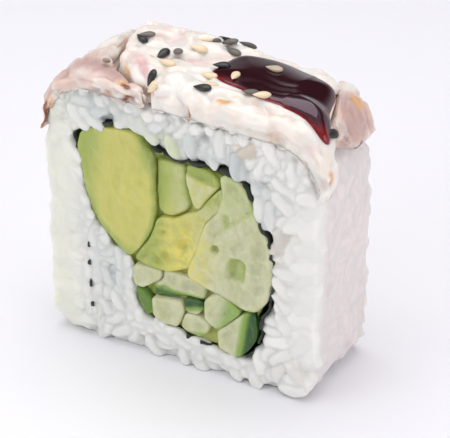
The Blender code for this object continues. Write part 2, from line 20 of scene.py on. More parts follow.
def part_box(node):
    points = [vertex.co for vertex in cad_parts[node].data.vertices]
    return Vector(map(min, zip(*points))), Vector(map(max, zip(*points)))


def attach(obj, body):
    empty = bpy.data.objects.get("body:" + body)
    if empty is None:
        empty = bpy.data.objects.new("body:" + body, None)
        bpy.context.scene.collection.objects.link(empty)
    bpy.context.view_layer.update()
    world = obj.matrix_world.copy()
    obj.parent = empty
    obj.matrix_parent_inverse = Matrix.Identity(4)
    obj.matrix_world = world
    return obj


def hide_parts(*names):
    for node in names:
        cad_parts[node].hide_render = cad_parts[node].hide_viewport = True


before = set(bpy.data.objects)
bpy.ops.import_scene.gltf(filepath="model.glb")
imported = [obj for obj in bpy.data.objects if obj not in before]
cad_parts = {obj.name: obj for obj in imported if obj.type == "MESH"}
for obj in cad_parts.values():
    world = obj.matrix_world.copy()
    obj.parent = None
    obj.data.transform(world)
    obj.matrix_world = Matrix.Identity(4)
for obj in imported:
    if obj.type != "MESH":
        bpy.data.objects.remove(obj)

MM = 0.001
LOG = logging.getLogger("roll")

Array = np.ndarray
Colour = tuple[float, float, float]

# The roll, as the solids have it
ROLL_WIDTH = 53.8
RICE_TOP = 48.0
RICE_TOP_LEFT = 49.6
CORNERS = {"bottom_right": 7.5, "top_right": 8.5, "top_left": 9.5, "bottom_left": 5.0}
COVER = 0.9
FRONT_CUT = -11.5
BACK_CUT = 10.5
BACK_CUT_SLOPE = -0.043
FILLING_TURN = math.radians(-6.0)

# How far a piece stays inside the box of its solid
CLEAR = 0.03

# How many sine waves a ripple has, and how many points a long sum takes at a time
RIPPLE_WAVES = 28
BATCH = 2000


def unit(vectors: Array) -> Array:
    """The vectors, along the last axis, each made one long."""
    return vectors / np.linalg.norm(vectors, axis=-1, keepdims=True)


def ripple(points: Array, wavelength: float, seed: int) -> Array:
    """A smooth random field, about -1 to 1.

    It is the sum of sine waves of random direction and phase, whose lengths lie round one wavelength.

    Args:
        points: places, (..., 3), in millimetres.
        wavelength: the usual distance between crests.
        seed: which field it is.

    Returns:
        One value a place.
    """
    rng = np.random.default_rng(seed)
    ways = unit(rng.normal(size=(RIPPLE_WAVES, 3)))
    ways *= (2 * math.pi / wavelength * rng.uniform(0.7, 1.4, RIPPLE_WAVES))[:, None]
    phases = rng.uniform(0, 2 * math.pi, RIPPLE_WAVES)
    total = np.zeros(points.shape[:-1])
    for way, phase in zip(ways, phases):
        total += np.sin(points @ way + phase)
    return total / math.sqrt(RIPPLE_WAVES)


def smoothstep(low: float, high: float, value: Array) -> Array:
    """0 below low, 1 above high and a smooth cubic between them."""
    t = np.clip((np.asarray(value, float) - low) / (high - low), 0.0, 1.0)
    return t * t * (3 - 2 * t)


def bell(value: Array, middle: float, width: float) -> Array:
    """1 at the middle, falling off as a Gaussian of that width."""
    return np.exp(-(((value - middle) / width) ** 2))


def each(kind: type, *rows: tuple) -> list:
    """One of that kind for each row of its values."""
    return [kind(*row) for row in rows]


def stood(flat: Array, y: Array | float) -> Array:
    """Places on a cut, X and Z along the last axis, stood up in space at that Y."""
    return np.stack(np.broadcast_arrays(flat[..., 0], y, flat[..., 1]), -1)


def bands(rings: Array) -> Array:
    """The squares between each closed ring of point numbers, (rings, around), and the next."""
    after = np.roll(rings, -1, axis=1)
    return np.stack([rings[:-1], after[:-1], after[1:], rings[1:]], -1).reshape(-1, 4)


def carry(mesh: bpy.types.Mesh, marks: dict[str, Array]) -> None:
    """Writes each mark on the mesh, one value a vertex, and shades the mesh smooth."""
    for mark, values in marks.items():
        layer = mesh.attributes.new(mark, "FLOAT", "POINT")
        layer.data.foreach_set("value", np.asarray(values, np.float32))
    mesh.polygons.foreach_set("use_smooth", np.ones(len(mesh.polygons), bool))
    mesh.update()


def put(name: str, data: bpy.types.ID) -> bpy.types.Object:
    """A new object of that data in the scene."""
    made = bpy.data.objects.new(name, data)
    bpy.context.scene.collection.objects.link(made)
    return made


@dataclass
class Shell:
    """A closed surface under construction.

    Args:
        vertices: (n, 3), in millimetres.
        faces: lists of vertex numbers.
        marks: for each name, one value a vertex, for the finish to read.
    """

    vertices: Array
    faces: list[list[int]]
    marks: dict[str, Array] = field(default_factory=dict)

    @staticmethod
    def joined(shells: list["Shell"]) -> "Shell":
        """The shells as one, each still whole. They carry the same marks."""
        faces: list[list[int]] = []
        count = 0
        for shell in shells:
            faces += [[i + count for i in face] for face in shell.faces]
            count += len(shell.vertices)
        marks = {name: np.concatenate([s.marks[name] for s in shells]) for name in shells[0].marks}
        return Shell(np.concatenate([s.vertices for s in shells]), faces, marks)

    @staticmethod
    def slab(top: Array, bottom: Array, marks: dict[str, Array] | None = None) -> "Shell":
        """The solid between two sheets that have the same grid, closed all round by their edges.

        Args:
            top: the upper sheet, (rows, columns, 3).
            bottom: the lower sheet, the same shape.
            marks: for each name, the upper sheet's values, which the lower one takes too.

        Returns:
            The shell.
        """
        rows, columns = top.shape[:2]
        upper = np.arange(rows * columns).reshape(rows, columns)
        lower = upper + rows * columns
        faces = []
        for sheet, flip in ((upper, False), (lower, True)):
            quads = np.stack([sheet[:-1, :-1], sheet[1:, :-1], sheet[1:, 1:], sheet[:-1, 1:]], -1)
            faces.append(quads.reshape(-1, 4)[:, ::-1] if flip else quads.reshape(-1, 4))
        edges = (
            (upper[0], lower[0], False), (upper[-1], lower[-1], True),
            (upper[:, 0], lower[:, 0], True), (upper[:, -1], lower[:, -1], False),
        )
        for high, low, flip in edges:
            quads = np.stack([high[:-1], high[1:], low[1:], low[:-1]], -1)
            faces.append(quads[:, ::-1] if flip else quads)
        vertices = np.concatenate([top.reshape(-1, 3), bottom.reshape(-1, 3)])
        kept = {n: np.tile(np.asarray(v, float).reshape(-1), 2) for n, v in (marks or {}).items()}
        return Shell(vertices, np.concatenate(faces).tolist(), kept)

    @staticmethod
    def repeated(template: "Shell", frames: Array, places: Array, sizes: Array, marks: dict[str, Array],
                 shifts: Array | float = 0.0) -> "Shell":
        """The template many times over: each copy is scaled, bent, turned and moved.

        A copy's point is its place plus its frame times the template's point times its size, shifted.

        Args:
            template: the shape to repeat.
            frames: (copies, 3, 3), each copy's axes as columns.
            places: (copies, 3).
            sizes: (copies, 3).
            marks: for each name, one value a copy.
            shifts: (copies, points, 3), what is added to each scaled point.

        Returns:
            All the copies as one shell.
        """
        count, points = len(places), len(template.vertices)
        scaled = template.vertices[None] * sizes[:, None] + shifts
        placed = np.einsum("cij,cpj->cpi", frames, scaled) + places[:, None]
        numbers = (np.arange(count) * points)[:, None, None]
        faces: list[list[int]] = []
        for sides in (3, 4):
            alike = np.array([f for f in template.faces if len(f) == sides], int).reshape(-1, sides)
            faces += (alike[None] + numbers).reshape(-1, sides).tolist()
        kept = {name: np.repeat(values, points) for name, values in marks.items()}
        return Shell(placed.reshape(-1, 3), faces, kept)

    @staticmethod
    def through(ends: list[Array], triangles: Array, sizes: list[int]) -> "Shell":
        """The closed shell between two caps with the same triangles, walled round each of their loops.

        Args:
            ends: the front cap's points and the back one's, (points, 3), the loops' own first.
            triangles: the caps' triangles.
            sizes: how many points each loop has, the outside one first.

        Returns:
            The shell.
        """
        shells = [Shell(ends[0], triangles[:, ::-1].tolist()), Shell(ends[1], triangles.tolist())]
        start = 0
        for size in sizes:
            quads = bands(np.arange(2 * size).reshape(2, -1))
            wall = np.concatenate([end[start:start + size] for end in ends])
            shells.append(Shell(wall, (quads if start else quads[:, ::-1]).tolist()))
            start += size
        return Shell.joined(shells)

    def mesh(self, name: str) -> bpy.types.Mesh:
        """The shell as a mesh in metres that carries its marks."""
        mesh = bpy.data.meshes.new(name)
        mesh.from_pydata((self.vertices * MM).tolist(), [], self.faces)
        carry(mesh, self.marks)
        return mesh


def oriented(mesh: bpy.types.Mesh, merge: float = 0.001) -> bpy.types.Mesh:
    """The mesh with points closer than merge, in millimetres, made one, and its faces outwards."""
    shape = bmesh.new()
    shape.from_mesh(mesh)
    bmesh.ops.remove_doubles(shape, verts=shape.verts, dist=merge * MM)
    bmesh.ops.recalc_face_normals(shape, faces=shape.faces)
    if shape.calc_volume(signed=True) < 0:
        bmesh.ops.reverse_faces(shape, faces=shape.faces)
    shape.to_mesh(mesh)
    shape.free()
    return mesh


def pod(rings: int, around: int, tip: float) -> Shell:
    """A closed egg along X, a unit long and wide: radius is the ellipse's, pinched towards one end by tip.

    Args:
        rings: how many rings of points stand between the poles.
        around: points in a ring.
        tip: 0 for an even ellipsoid, up to 1 for a pointed end at -X.

    Returns:
        The shell.
    """
    turn = math.pi * np.arange(1, rings + 1) / (rings + 1)
    along = -0.5 * np.cos(turn)
    radius = 0.5 * np.sin(turn) * (1 - tip * (0.5 - along) ** 2)
    angle = 2 * math.pi * np.arange(around) / around
    grid = np.stack([
        np.broadcast_to(along[:, None], (rings, around)),
        radius[:, None] * np.cos(angle), radius[:, None] * np.sin(angle),
    ], -1)
    points = np.concatenate([[[-0.5, 0, 0]], grid.reshape(-1, 3), [[0.5, 0, 0]]])
    ids = 1 + np.arange(rings * around).reshape(rings, around)
    after = np.roll(ids, -1, axis=1)
    faces = np.stack([ids[:-1], ids[1:], after[1:], after[:-1]], -1).reshape(-1, 4)[:, ::-1].tolist()
    faces += np.stack([np.zeros(around, int), after[0], ids[0]], -1)[:, ::-1].tolist()
    faces += np.stack([np.full(around, len(points) - 1), ids[-1], after[-1]], -1)[:, ::-1].tolist()
    return Shell(points, faces)


@dataclass(frozen=True)
class Spot:
    """A soft lobe, furrow or patch on a surface with two coordinates: a turned Gaussian.

    Args:
        u: its place by the first coordinate.
        v: its place by the second.
        long: its radius along its own direction.
        wide: its radius across it.
        turn: its direction, in degrees from the first coordinate.
        height: how far it rises, or falls below 0, or how strong it is.
    """

    u: float
    v: float
    long: float
    wide: float
    turn: float
    height: float

    def rise(self, u: Array, v: Array) -> Array:
        """Its height there: exp of minus the squared distances over its radii."""
        c, n = math.cos(math.radians(self.turn)), math.sin(math.radians(self.turn))
        du, dv = u - self.u, v - self.v
        a, b = du * c + dv * n, -du * n + dv * c
        return self.height * np.exp(-((a / self.long) ** 2) - (b / self.wide) ** 2)


def spotted(spots: list[Spot], u: Array, v: Array) -> Array:
    """The spots' heights there, added up and kept between 0 and 1.4."""
    return np.clip(sum(spot.rise(u, v) for spot in spots), 0, 1.4)


# Shader maths

Number = float | int


@dataclass(frozen=True)
class Wire:
    """A value socket that Python's operators act on, each adding its Math node.

    Args:
        paint: the material being made.
        socket: the output socket.
    """

    paint: "Paint"
    socket: bpy.types.NodeSocket

    def _math(self, operation: str, *values: "Wire | Number") -> "Wire":
        """The result of a Math node with that operation on the values, in their order."""
        return self.paint.node("ShaderNodeMath", {"operation": operation}, dict(enumerate(values)))

    def __add__(self, other: "Wire | Number") -> "Wire":
        """This plus the other."""
        return self._math("ADD", self, other)

    __radd__ = __add__

    def __sub__(self, other: "Wire | Number") -> "Wire":
        """This less the other."""
        return self._math("SUBTRACT", self, other)

    def __rsub__(self, other: Number) -> "Wire":
        """The other less this."""
        return self._math("SUBTRACT", other, self)

    def __mul__(self, other: "Wire | Number") -> "Wire":
        """This times the other."""
        return self._math("MULTIPLY", self, other)

    __rmul__ = __mul__

    def over(self, low: float, high: float) -> "Wire":
        """0 below low, 1 above high and a smooth step between; turned round where low is above high."""
        inputs = {
            "Value": self, "From Min": min(low, high), "From Max": max(low, high),
            "To Min": float(low > high), "To Max": float(low < high),
        }
        return self.paint.node("ShaderNodeMapRange", {"interpolation_type": "SMOOTHSTEP"}, inputs)


class Paint:
    """A material whose nodes are made by expressions and end in a Principled shader."""

    def __init__(self, name: str) -> None:
        """Starts the material of that name."""
        self.material = bpy.data.materials.new(name)
        self.material.use_nodes = True
        self.tree = self.material.node_tree
        self.shader = self.tree.nodes["Principled BSDF"]

    def node(self, kind: str, settings: dict, inputs: dict, output: int | str = 0) -> Wire:
        """Adds a node.

        Args:
            kind: the node's type.
            settings: what is set on the node before its sockets, by attribute.
            inputs: a value or wire for each socket, by name or number.
            output: the output socket to give back.

        Returns:
            That output as a wire.
        """
        made = self.tree.nodes.new(kind)
        for name, value in settings.items():
            setattr(made, name, value)
        for name, value in inputs.items():
            self._feed(made.inputs[name], value)
        return Wire(self, made.outputs[output])

    def _feed(self, socket: bpy.types.NodeSocket, value: "Wire | Number | tuple") -> None:
        """Links a wire to the socket, or sets its value."""
        if isinstance(value, Wire):
            self.tree.links.new(value.socket, socket)
        elif isinstance(value, tuple) and socket.type == "RGBA":
            socket.default_value = (*value, 1.0)
        else:
            socket.default_value = value

    def place(self) -> Wire:
        """Where the surface is, in object coordinates."""
        return self.node("ShaderNodeTexCoord", {}, {}, "Object")

    def axis(self, name: str) -> Wire:
        """One object coordinate, in millimetres."""
        return self.node("ShaderNodeSeparateXYZ", {}, {0: self.place()}, name) * (1 / MM)

    def mark(self, name: str) -> Wire:
        """The value of a mark that the mesh carries."""
        return self.node("ShaderNodeAttribute", {"attribute_name": name}, {}, "Fac")

    def noise(self, size: float, detail: float = 3.0, roughness: float = 0.55,
              stretch: tuple[float, float, float] = (1, 1, 1), warp: float = 0.0) -> Wire:
        """Noise, 0 to 1.

        Args:
            size: about how many millimetres its blots are across.
            detail: how many finer layers it has.
            roughness: how strong the finer layers are.
            stretch: how far it is drawn out along each axis.
            warp: how far it is distorted.

        Returns:
            Its value.
        """
        scale = tuple(1 / s for s in stretch)
        inputs = {
            "Vector": self.node("ShaderNodeMapping", {}, {"Vector": self.place(), "Scale": scale}),
            "Scale": 1 / (size * MM), "Detail": detail, "Roughness": roughness, "Distortion": warp,
        }
        return self.node("ShaderNodeTexNoise", {}, inputs)

    def cells(self, size: float) -> Wire:
        """The distance to the nearest of scattered points, which lie about that many millimetres apart."""
        return self.node("ShaderNodeTexVoronoi", {}, {"Vector": self.place(), "Scale": 1 / (size * MM)})

    def mix(self, share: Wire | Number, first: Wire | Colour, second: Wire | Colour) -> Wire:
        """The first colour at share 0, the second at 1."""
        settings = {"data_type": "RGBA", "clamp_factor": True}
        return self.node("ShaderNodeMix", settings, {0: share, 6: first, 7: second}, 2)

    def bump(self, height: Wire, distance: float) -> Wire:
        """A normal from a height that stands for that many millimetres."""
        return self.node("ShaderNodeBump", {}, {"Height": height, "Distance": distance * MM})

    def done(self, **sockets: "Wire | Number | tuple") -> bpy.types.Material:
        """Feeds the Principled shader, whose socket names are written with underscores.

        Args:
            sockets: a value or wire for each socket.

        Returns:
            The material.
        """
        for name, value in sockets.items():
            self._feed(self.shader.inputs[name.replace("_", " ")], value)
        return self.material


class Layer(Enum):
    """Which grains of rice a layer holds."""

    SUNK = "sunk"
    LOOSE = "loose"


@dataclass(frozen=True)
class RiceFinish:
    """Moist cooked rice: white and slightly clear, some grains cooler at random and the left side warmer.
    Light and shade are painted in too: cool grey-blue shade on the cut under the fish, by the nori and along
    the bottom, a lilac cast of light on the right side, and grey shade in the creases between grains.
    """

    white: Colour = (0.86, 0.855, 0.81)
    cool: Colour = (0.60, 0.64, 0.62)
    warm: Colour = (0.80, 0.81, 0.68)
    lilac_light: Colour = (0.78, 0.67, 0.66)
    green: Colour = (0.62, 0.70, 0.40)
    tan: Colour = (0.66, 0.56, 0.44)
    shade: Colour = (0.42, 0.43, 0.42)

    def paint(self) -> bpy.types.Material:
        """The finish as a material."""
        p = Paint("rice")
        x, y = p.axis("X"), p.axis("Y")
        patch = p.noise(3.0, 2.0)
        base = p.mix(x.over(-17.0, -25.0) * 0.7, self.white, self.warm)
        # Painted light: a lilac-pink cast of light on the right side of the roll.
        base = p.mix(x.over(22.0, 26.0) * y.over(-11.0, -8.0) * 0.65, base, self.lilac_light)
        base = p.mix(p.mark("tone").over(0.9, 0.2) * 0.2, base, self.cool)
        # Painted shade: cool grey-blue on the cut's grains under the fish, by the nori and along the bottom.
        base = p.mix(p.mark("cool") * patch.over(0.1, 0.4), base, self.cool)
        base = p.mix(p.mark("green") * patch.over(0.25, 0.6), base, self.green)
        base = p.mix(p.mark("tan"), base, self.tan)
        # Painted shade: grey in the creases between grains.
        base = p.mix(p.mark("crease") * 0.2, base, self.shade)
        height = p.noise(0.9, 3.0, 0.6)
        return p.done(
            Base_Color=base, Roughness=0.34 + 0.18 * p.noise(1.6), Normal=p.bump(height, 0.08),
            Subsurface_Weight=1.0, Subsurface_Radius=(1.0, 0.95, 0.9), Subsurface_Scale=1.1 * MM,
            IOR=1.36, Coat_Weight=0.25, Coat_Roughness=0.2,
        )


@dataclass(frozen=True)
class NoriFinish:
    """Moist nori: near black with a green cast, and finely wrinkled."""

    dark: Colour = (0.006, 0.010, 0.007)
    green: Colour = (0.020, 0.036, 0.018)

    def paint(self) -> bpy.types.Material:
        """The finish as a material."""
        p = Paint("nori")
        return p.done(
            Base_Color=p.mix(p.noise(1.4, 4.0), self.dark, self.green), Roughness=0.42,
            Normal=p.bump(p.noise(0.7, 4.0, 0.7), 0.25), Coat_Weight=0.2, Coat_Roughness=0.3,
        )


@dataclass(frozen=True)
class AvocadoFinish:
    """Ripe avocado: butter yellow inside, turning green towards the outside of the fruit."""

    name: str
    cream: Colour = (0.57, 0.56, 0.15)
    lime: Colour = (0.37, 0.45, 0.10)
    leaf: Colour = (0.27, 0.34, 0.07)
    fleck: Colour = (0.65, 0.63, 0.24)
    yolk: Colour = (0.74, 0.66, 0.14)
    pale: Colour = (0.60, 0.62, 0.36)

    def paint(self) -> bpy.types.Material:
        """The finish as a material."""
        p = Paint(self.name)
        depth = p.mark("green") + (p.noise(5.0, 3.0) - 0.5) * 0.35
        base = p.mix(depth.over(0.15, 0.95), self.cream, self.lime)
        base = p.mix(depth.over(0.85, 1.25), base, self.leaf)
        base = p.mix(p.noise(1.6, 4.0, 0.6, (1, 1, 3)).over(0.52, 0.72) * 0.35, base, self.fleck)
        base = p.mix(p.mark("yolk") * p.noise(1.8, 3.0).over(0.35, 0.6), base, self.yolk)
        base = p.mix(p.mark("pale") * p.noise(2.0, 3.0).over(0.3, 0.6), base, self.pale)
        height = p.noise(2.2, 4.0, 0.55, (1, 1, 2.5)) + p.noise(0.6, 2.0) * 0.25
        return p.done(
            Base_Color=base, Roughness=0.32 + 0.2 * p.noise(2.0), Normal=p.bump(height, 0.35),
            Subsurface_Weight=0.5, Subsurface_Radius=(1.0, 0.9, 0.35), Subsurface_Scale=1.0 * MM,
            IOR=1.42, Coat_Weight=0.3, Coat_Roughness=0.12,
        )


@dataclass(frozen=True)
class CucumberFinish:
    """Fresh cucumber: wet pale flesh with watery streaks, shading to a dark green skin."""

    name: str
    flesh: Colour = (0.62, 0.63, 0.41)
    watery: Colour = (0.47, 0.51, 0.25)
    seed: Colour = (0.42, 0.52, 0.14)
    yolk: Colour = (0.70, 0.65, 0.20)
    rind: Colour = (0.24, 0.40, 0.06)
    skin: Colour = (0.02, 0.09, 0.008)

    def paint(self) -> bpy.types.Material:
        """The finish as a material."""
        p = Paint(self.name)
        skin = p.mark("skin")
        base = p.mix(p.noise(2.4, 3.0, 0.6, (1, 1, 1.8)).over(0.38, 0.72) * 0.7, self.flesh, self.watery)
        base = p.mix(p.mark("seed").over(0.0, 1.0) * 0.8, base, self.seed)
        base = p.mix(p.mark("yolk") * p.noise(2.2, 3.0).over(0.25, 0.6), base, self.yolk)
        base = p.mix(skin.over(0.15, 0.6), base, self.rind)
        base = p.mix(skin.over(0.6, 0.95), base, self.skin)
        height = p.noise(1.3, 4.0, 0.6, (1, 1, 2.0)) + 0.4 * p.cells(1.1)
        return p.done(
            Base_Color=base, Roughness=0.22 + 0.2 * p.noise(1.5), Normal=p.bump(height, 0.35),
            Subsurface_Weight=0.6, Subsurface_Radius=(0.9, 1.0, 0.45), Subsurface_Scale=1.4 * MM,
            IOR=1.36, Coat_Weight=0.5, Coat_Roughness=0.08,
        )


@dataclass(frozen=True)
class FishFinish:
    """Cooked white fish: glistening flakes, pinker in the folds, where the pink is partly its own colour and
    partly painted shade, greyed by painted shade under edges and in seams, and seared brown here and there.
    """

    name: str
    white: Colour = (0.87, 0.835, 0.785)
    cream: Colour = (0.85, 0.78, 0.70)
    pink: Colour = (0.78, 0.55, 0.53)
    tan: Colour = (0.72, 0.40, 0.16)
    brown: Colour = (0.22, 0.075, 0.035)
    grey: Colour = (0.40, 0.33, 0.30)

    def paint(self) -> bpy.types.Material:
        """The finish as a material."""
        p = Paint(self.name)
        speck = p.noise(1.2, 4.0, 0.65)
        white = p.mix(p.noise(4.0, 2.0).over(0.35, 0.65), self.white, self.cream)
        base = p.mix((p.mark("pink") + (p.noise(3.0) - 0.5) * 0.5).over(0.15, 1.0), white, self.pink)
        # Painted shade: grey under the edges and in the seams between slices.
        base = p.mix((p.mark("grey") + (speck - 0.5) * 0.6).over(0.3, 0.9), base, self.grey)
        base = p.mix((p.mark("tan") + (speck - 0.5) * 0.9).over(0.3, 0.9), base, self.tan)
        base = p.mix((p.mark("brown") + (speck - 0.5) * 0.9).over(0.35, 0.95), base, self.brown)
        height = p.noise(1.8, 4.0, 0.6, (2.2, 1, 1), 0.6) + 0.3 * p.noise(0.5, 3.0)
        return p.done(
            Base_Color=base, Roughness=0.26 + 0.22 * p.noise(1.7), Normal=p.bump(height, 0.14),
            Subsurface_Weight=0.6, Subsurface_Radius=(1.0, 0.65, 0.5), Subsurface_Scale=1.3 * MM,
            IOR=1.4, Coat_Weight=0.5, Coat_Roughness=0.1,
        )


@dataclass(frozen=True)
class SauceFinish:
    """Thick sweet soy sauce: near black where deep and dark red where thin, with a hard gloss."""

    deep: Colour = (0.024, 0.0018, 0.0045)
    thin: Colour = (0.22, 0.006, 0.005)

    def paint(self) -> bpy.types.Material:
        """The finish as a material."""
        p = Paint("sauce")
        # Painted reflection: the gloss is tinted lilac-pink for the lilac light the sauce reflects.
        return p.done(
            Base_Color=p.mix(p.mark("thin").over(0.15, 1.1), self.deep, self.thin), Roughness=0.06,
            IOR=1.52, Specular_Tint=(1.0, 0.74, 0.92), Coat_Weight=0.25, Coat_Roughness=0.03,
        )


@dataclass(frozen=True)
class SeedFinish:
    """Toasted sesame, black, grey or cream by the mark each seed carries."""

    black: Colour = (0.012, 0.011, 0.011)
    grey: Colour = (0.17, 0.15, 0.13)
    cream: Colour = (0.86, 0.66, 0.40)
    toast: Colour = (0.90, 0.76, 0.56)

    def paint(self) -> bpy.types.Material:
        """The finish as a material."""
        p = Paint("sesame")
        shade = p.mark("shade")
        base = p.mix(shade.over(0.1, 0.5), self.black, self.grey)
        base = p.mix(shade.over(0.6, 0.9), base, p.mix(p.noise(0.9), self.cream, self.toast))
        return p.done(
            Base_Color=base, Roughness=0.4, Normal=p.bump(p.noise(0.25, 3.0), 0.06),
            Coat_Weight=0.25, Coat_Roughness=0.2,
        )


def dress(name: str, mesh: bpy.types.Mesh, material: bpy.types.Material,
          nodes: tuple[str, ...] = ()) -> bpy.types.Object:
    """Puts a piece in the scene on the root body.

    Args:
        name: the piece's name.
        mesh: its mesh, in metres, in the frame's place.
        material: its finish.
        nodes: the CAD nodes that it stands for.

    Returns:
        The piece.
    """
    piece = put(name, mesh)
    mesh.materials.append(material)
    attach(piece, "root")
    if nodes:
        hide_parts(*nodes)
    LOG.info("%s: %d faces", name, len(mesh.polygons))
    return piece


# Lines and outlines, each an array of points, (points, 2)
def corner_arc(centre: tuple[float, float], radius: float, start: float, steps: int) -> Array:
    """A quarter turn round centre, counterclockwise from the start angle in degrees."""
    angles = np.radians(start + 90.0 * np.arange(steps + 1) / steps)
    return np.stack([centre[0] + radius * np.cos(angles), centre[1] + radius * np.sin(angles)], -1)


def rice_outline(inset: float) -> Array:
    """The rice's rounded outline on the cut, counterclockwise, inset from its full width."""
    half = ROLL_WIDTH / 2 - inset
    corners = (
        ("bottom_right", 1, 0.0, -90), ("top_right", 1, RICE_TOP, 0),
        ("top_left", -1, RICE_TOP_LEFT, 90), ("bottom_left", -1, 0.0, 180),
    )
    arcs = []
    for name, side, z, start in corners:
        radius = CORNERS[name]
        middle = (side * (half - radius), z + radius if z == 0 else z - radius)
        arcs.append(corner_arc(middle, radius, start, 10))
    return np.concatenate(arcs)


def run_along(line: Array) -> Array:
    """The length of a line up to each of its points."""
    return np.concatenate([[0.0], np.linalg.norm(np.diff(line, axis=0), axis=1).cumsum()])


def spread(line: Array, run: Array, places: Array) -> Array:
    """The points of a line at those places, where run gives the place of each of its own points."""
    return np.stack([np.interp(places, run, line[:, k]) for k in (0, 1)], -1)


def resampled(loop: Array, step: float) -> Array:
    """A closed loop with its points about step apart."""
    ends = np.vstack([loop, loop[:1]])
    run = run_along(ends)
    return spread(ends, run, np.linspace(0, run[-1], max(12, round(run[-1] / step)) + 1)[:-1])


def sideways(loop: Array) -> Array:
    """The unit normal at each point of a closed loop, to the right of the way it runs."""
    along = np.roll(loop, -1, axis=0) - np.roll(loop, 1, axis=0)
    return unit(np.stack([along[:, 1], -along[:, 0]], -1))


def softened(loop: Array, passes: int) -> Array:
    """A closed loop with each point moved towards the middle of its neighbours."""
    for _ in range(passes):
        loop = 0.5 * loop + 0.25 * (np.roll(loop, 1, axis=0) + np.roll(loop, -1, axis=0))
    return loop


def inside(loop: Array, points: Array) -> Array:
    """True for each point inside the closed loop, by counting the edges a ray crosses."""
    a, b = loop, np.roll(loop, -1, axis=0)
    px, pz = points[:, None, 0], points[:, None, 1]
    straddles = (a[:, 1] > pz) != (b[:, 1] > pz)
    rise = np.where(b[:, 1] == a[:, 1], 1e-9, b[:, 1] - a[:, 1])
    crossing = a[:, 0] + (pz - a[:, 1]) / rise * (b[:, 0] - a[:, 0])
    return (straddles & (px < crossing)).sum(1) % 2 == 1


def distance_to(loop: Array, points: Array) -> Array:
    """Each point's distance to the closed loop, worked out for a batch of points at a time."""
    a, b = loop, np.roll(loop, -1, axis=0)
    along = b - a
    out = np.empty(len(points))
    for start in range(0, len(points), BATCH):
        some = points[start:start + BATCH, None]
        share = np.clip(((some - a) * along).sum(-1) / np.maximum((along**2).sum(-1), 1e-12), 0, 1)
        out[start:start + BATCH] = np.linalg.norm(a + share[..., None] * along - some, axis=-1).min(1)
    return out


def within(loop: Array, x: Array, z: Array) -> Array:
    """The distance inside a closed loop, below 0 outside it."""
    flat = np.stack([x, z], -1)
    return distance_to(loop, flat) * np.where(inside(loop, flat), 1.0, -1.0)


def settle(points: Array, share: float | Array) -> Array:
    """The filling turned a little from the front cut to the back one, the outside left alone."""
    middle = RICE_TOP / 2
    edge = (np.abs(points[..., 0]) / (ROLL_WIDTH / 2)) ** 4
    edge += (np.abs(points[..., 1] - middle) / middle) ** 4
    turn = FILLING_TURN * share * np.maximum(0.0, 1.0 - edge)
    x, z = points[..., 0], points[..., 1] - middle
    return np.stack([x * np.cos(turn) - z * np.sin(turn), middle + x * np.sin(turn) + z * np.cos(turn)], -1)


def back_cut(x: Array) -> Array:
    """The Y of the slightly slanted back cut at that X."""
    return BACK_CUT + BACK_CUT_SLOPE * x


def front_loop(node: str) -> Array:
    """The outline of a CAD node's front cut: the edges that only one front triangle has, in order.

    Args:
        node: the CAD node's name.

    Returns:
        (points, 2), X and Z in millimetres.
    """
    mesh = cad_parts[node].data
    raw = np.empty(len(mesh.vertices) * 3, np.float32)
    mesh.vertices.foreach_get("co", raw)
    points, which = np.unique(np.round(raw.reshape(-1, 3) / MM, 3), axis=0, return_inverse=True)
    corners = np.empty(len(mesh.loops), np.int32)
    mesh.loops.foreach_get("vertex_index", corners)
    triangles = which.reshape(-1)[corners].reshape(-1, 3)
    a, b, c = (points[triangles[:, k]] for k in range(3))
    normals = np.cross(b - a, c - a)
    normals /= np.maximum(np.linalg.norm(normals, axis=1, keepdims=True), 1e-12)
    front = triangles[normals[:, 1] < -0.9]
    edges = {(int(t[k]), int(t[(k + 1) % 3])) for t in front for k in range(3)}
    onwards = {start: end for start, end in edges if (end, start) not in edges}
    order = [next(iter(onwards))]
    while onwards[order[-1]] != order[0]:
        order.append(onwards[order[-1]])
    return points[order][:, [0, 2]]


def cap(loops: list[Array], spacing: float) -> tuple[Array, Array]:
    """Triangles that fill the space inside the first loop and outside the others, on points spread evenly.

    Args:
        loops: closed loops, (points, 2).
        spacing: the distance between the points inside.

    Returns:
        The points, whose first ones are the loops' own, and the triangles' point numbers.
    """
    low, high = loops[0].min(0), loops[0].max(0)
    columns = np.arange(low[0], high[0], spacing)
    rows = np.arange(low[1], high[1], spacing * 0.87)
    x, z = np.meshgrid(columns, rows)
    x = x + (np.arange(len(rows)) % 2)[:, None] * spacing / 2
    points = np.stack([x.ravel(), z.ravel()], -1)
    keep = inside(loops[0], points)
    for hole in loops[1:]:
        keep &= ~inside(hole, points)
    for loop in loops:
        keep &= distance_to(loop, points) > spacing * 0.45
    edge_points = np.concatenate(loops)
    edges, count = [], 0
    for loop in loops:
        ids = count + np.arange(len(loop))
        edges += np.stack([ids, np.roll(ids, -1)], -1).tolist()
        count += len(loop)
    everything = np.concatenate([edge_points, points[keep]])
    flat = [Vector(p) for p in everything]
    made = delaunay_2d_cdt(flat, edges, [], 0, 1e-6)
    triangles = np.array([f for f in made[2] if len(f) == 3], int)
    placed = np.array([tuple(p) for p in made[0]])
    middles = placed[triangles].mean(1)
    wanted = inside(loops[0], middles)
    for hole in loops[1:]:
        wanted &= ~inside(hole, middles)
    return placed, triangles[wanted]


# Filling

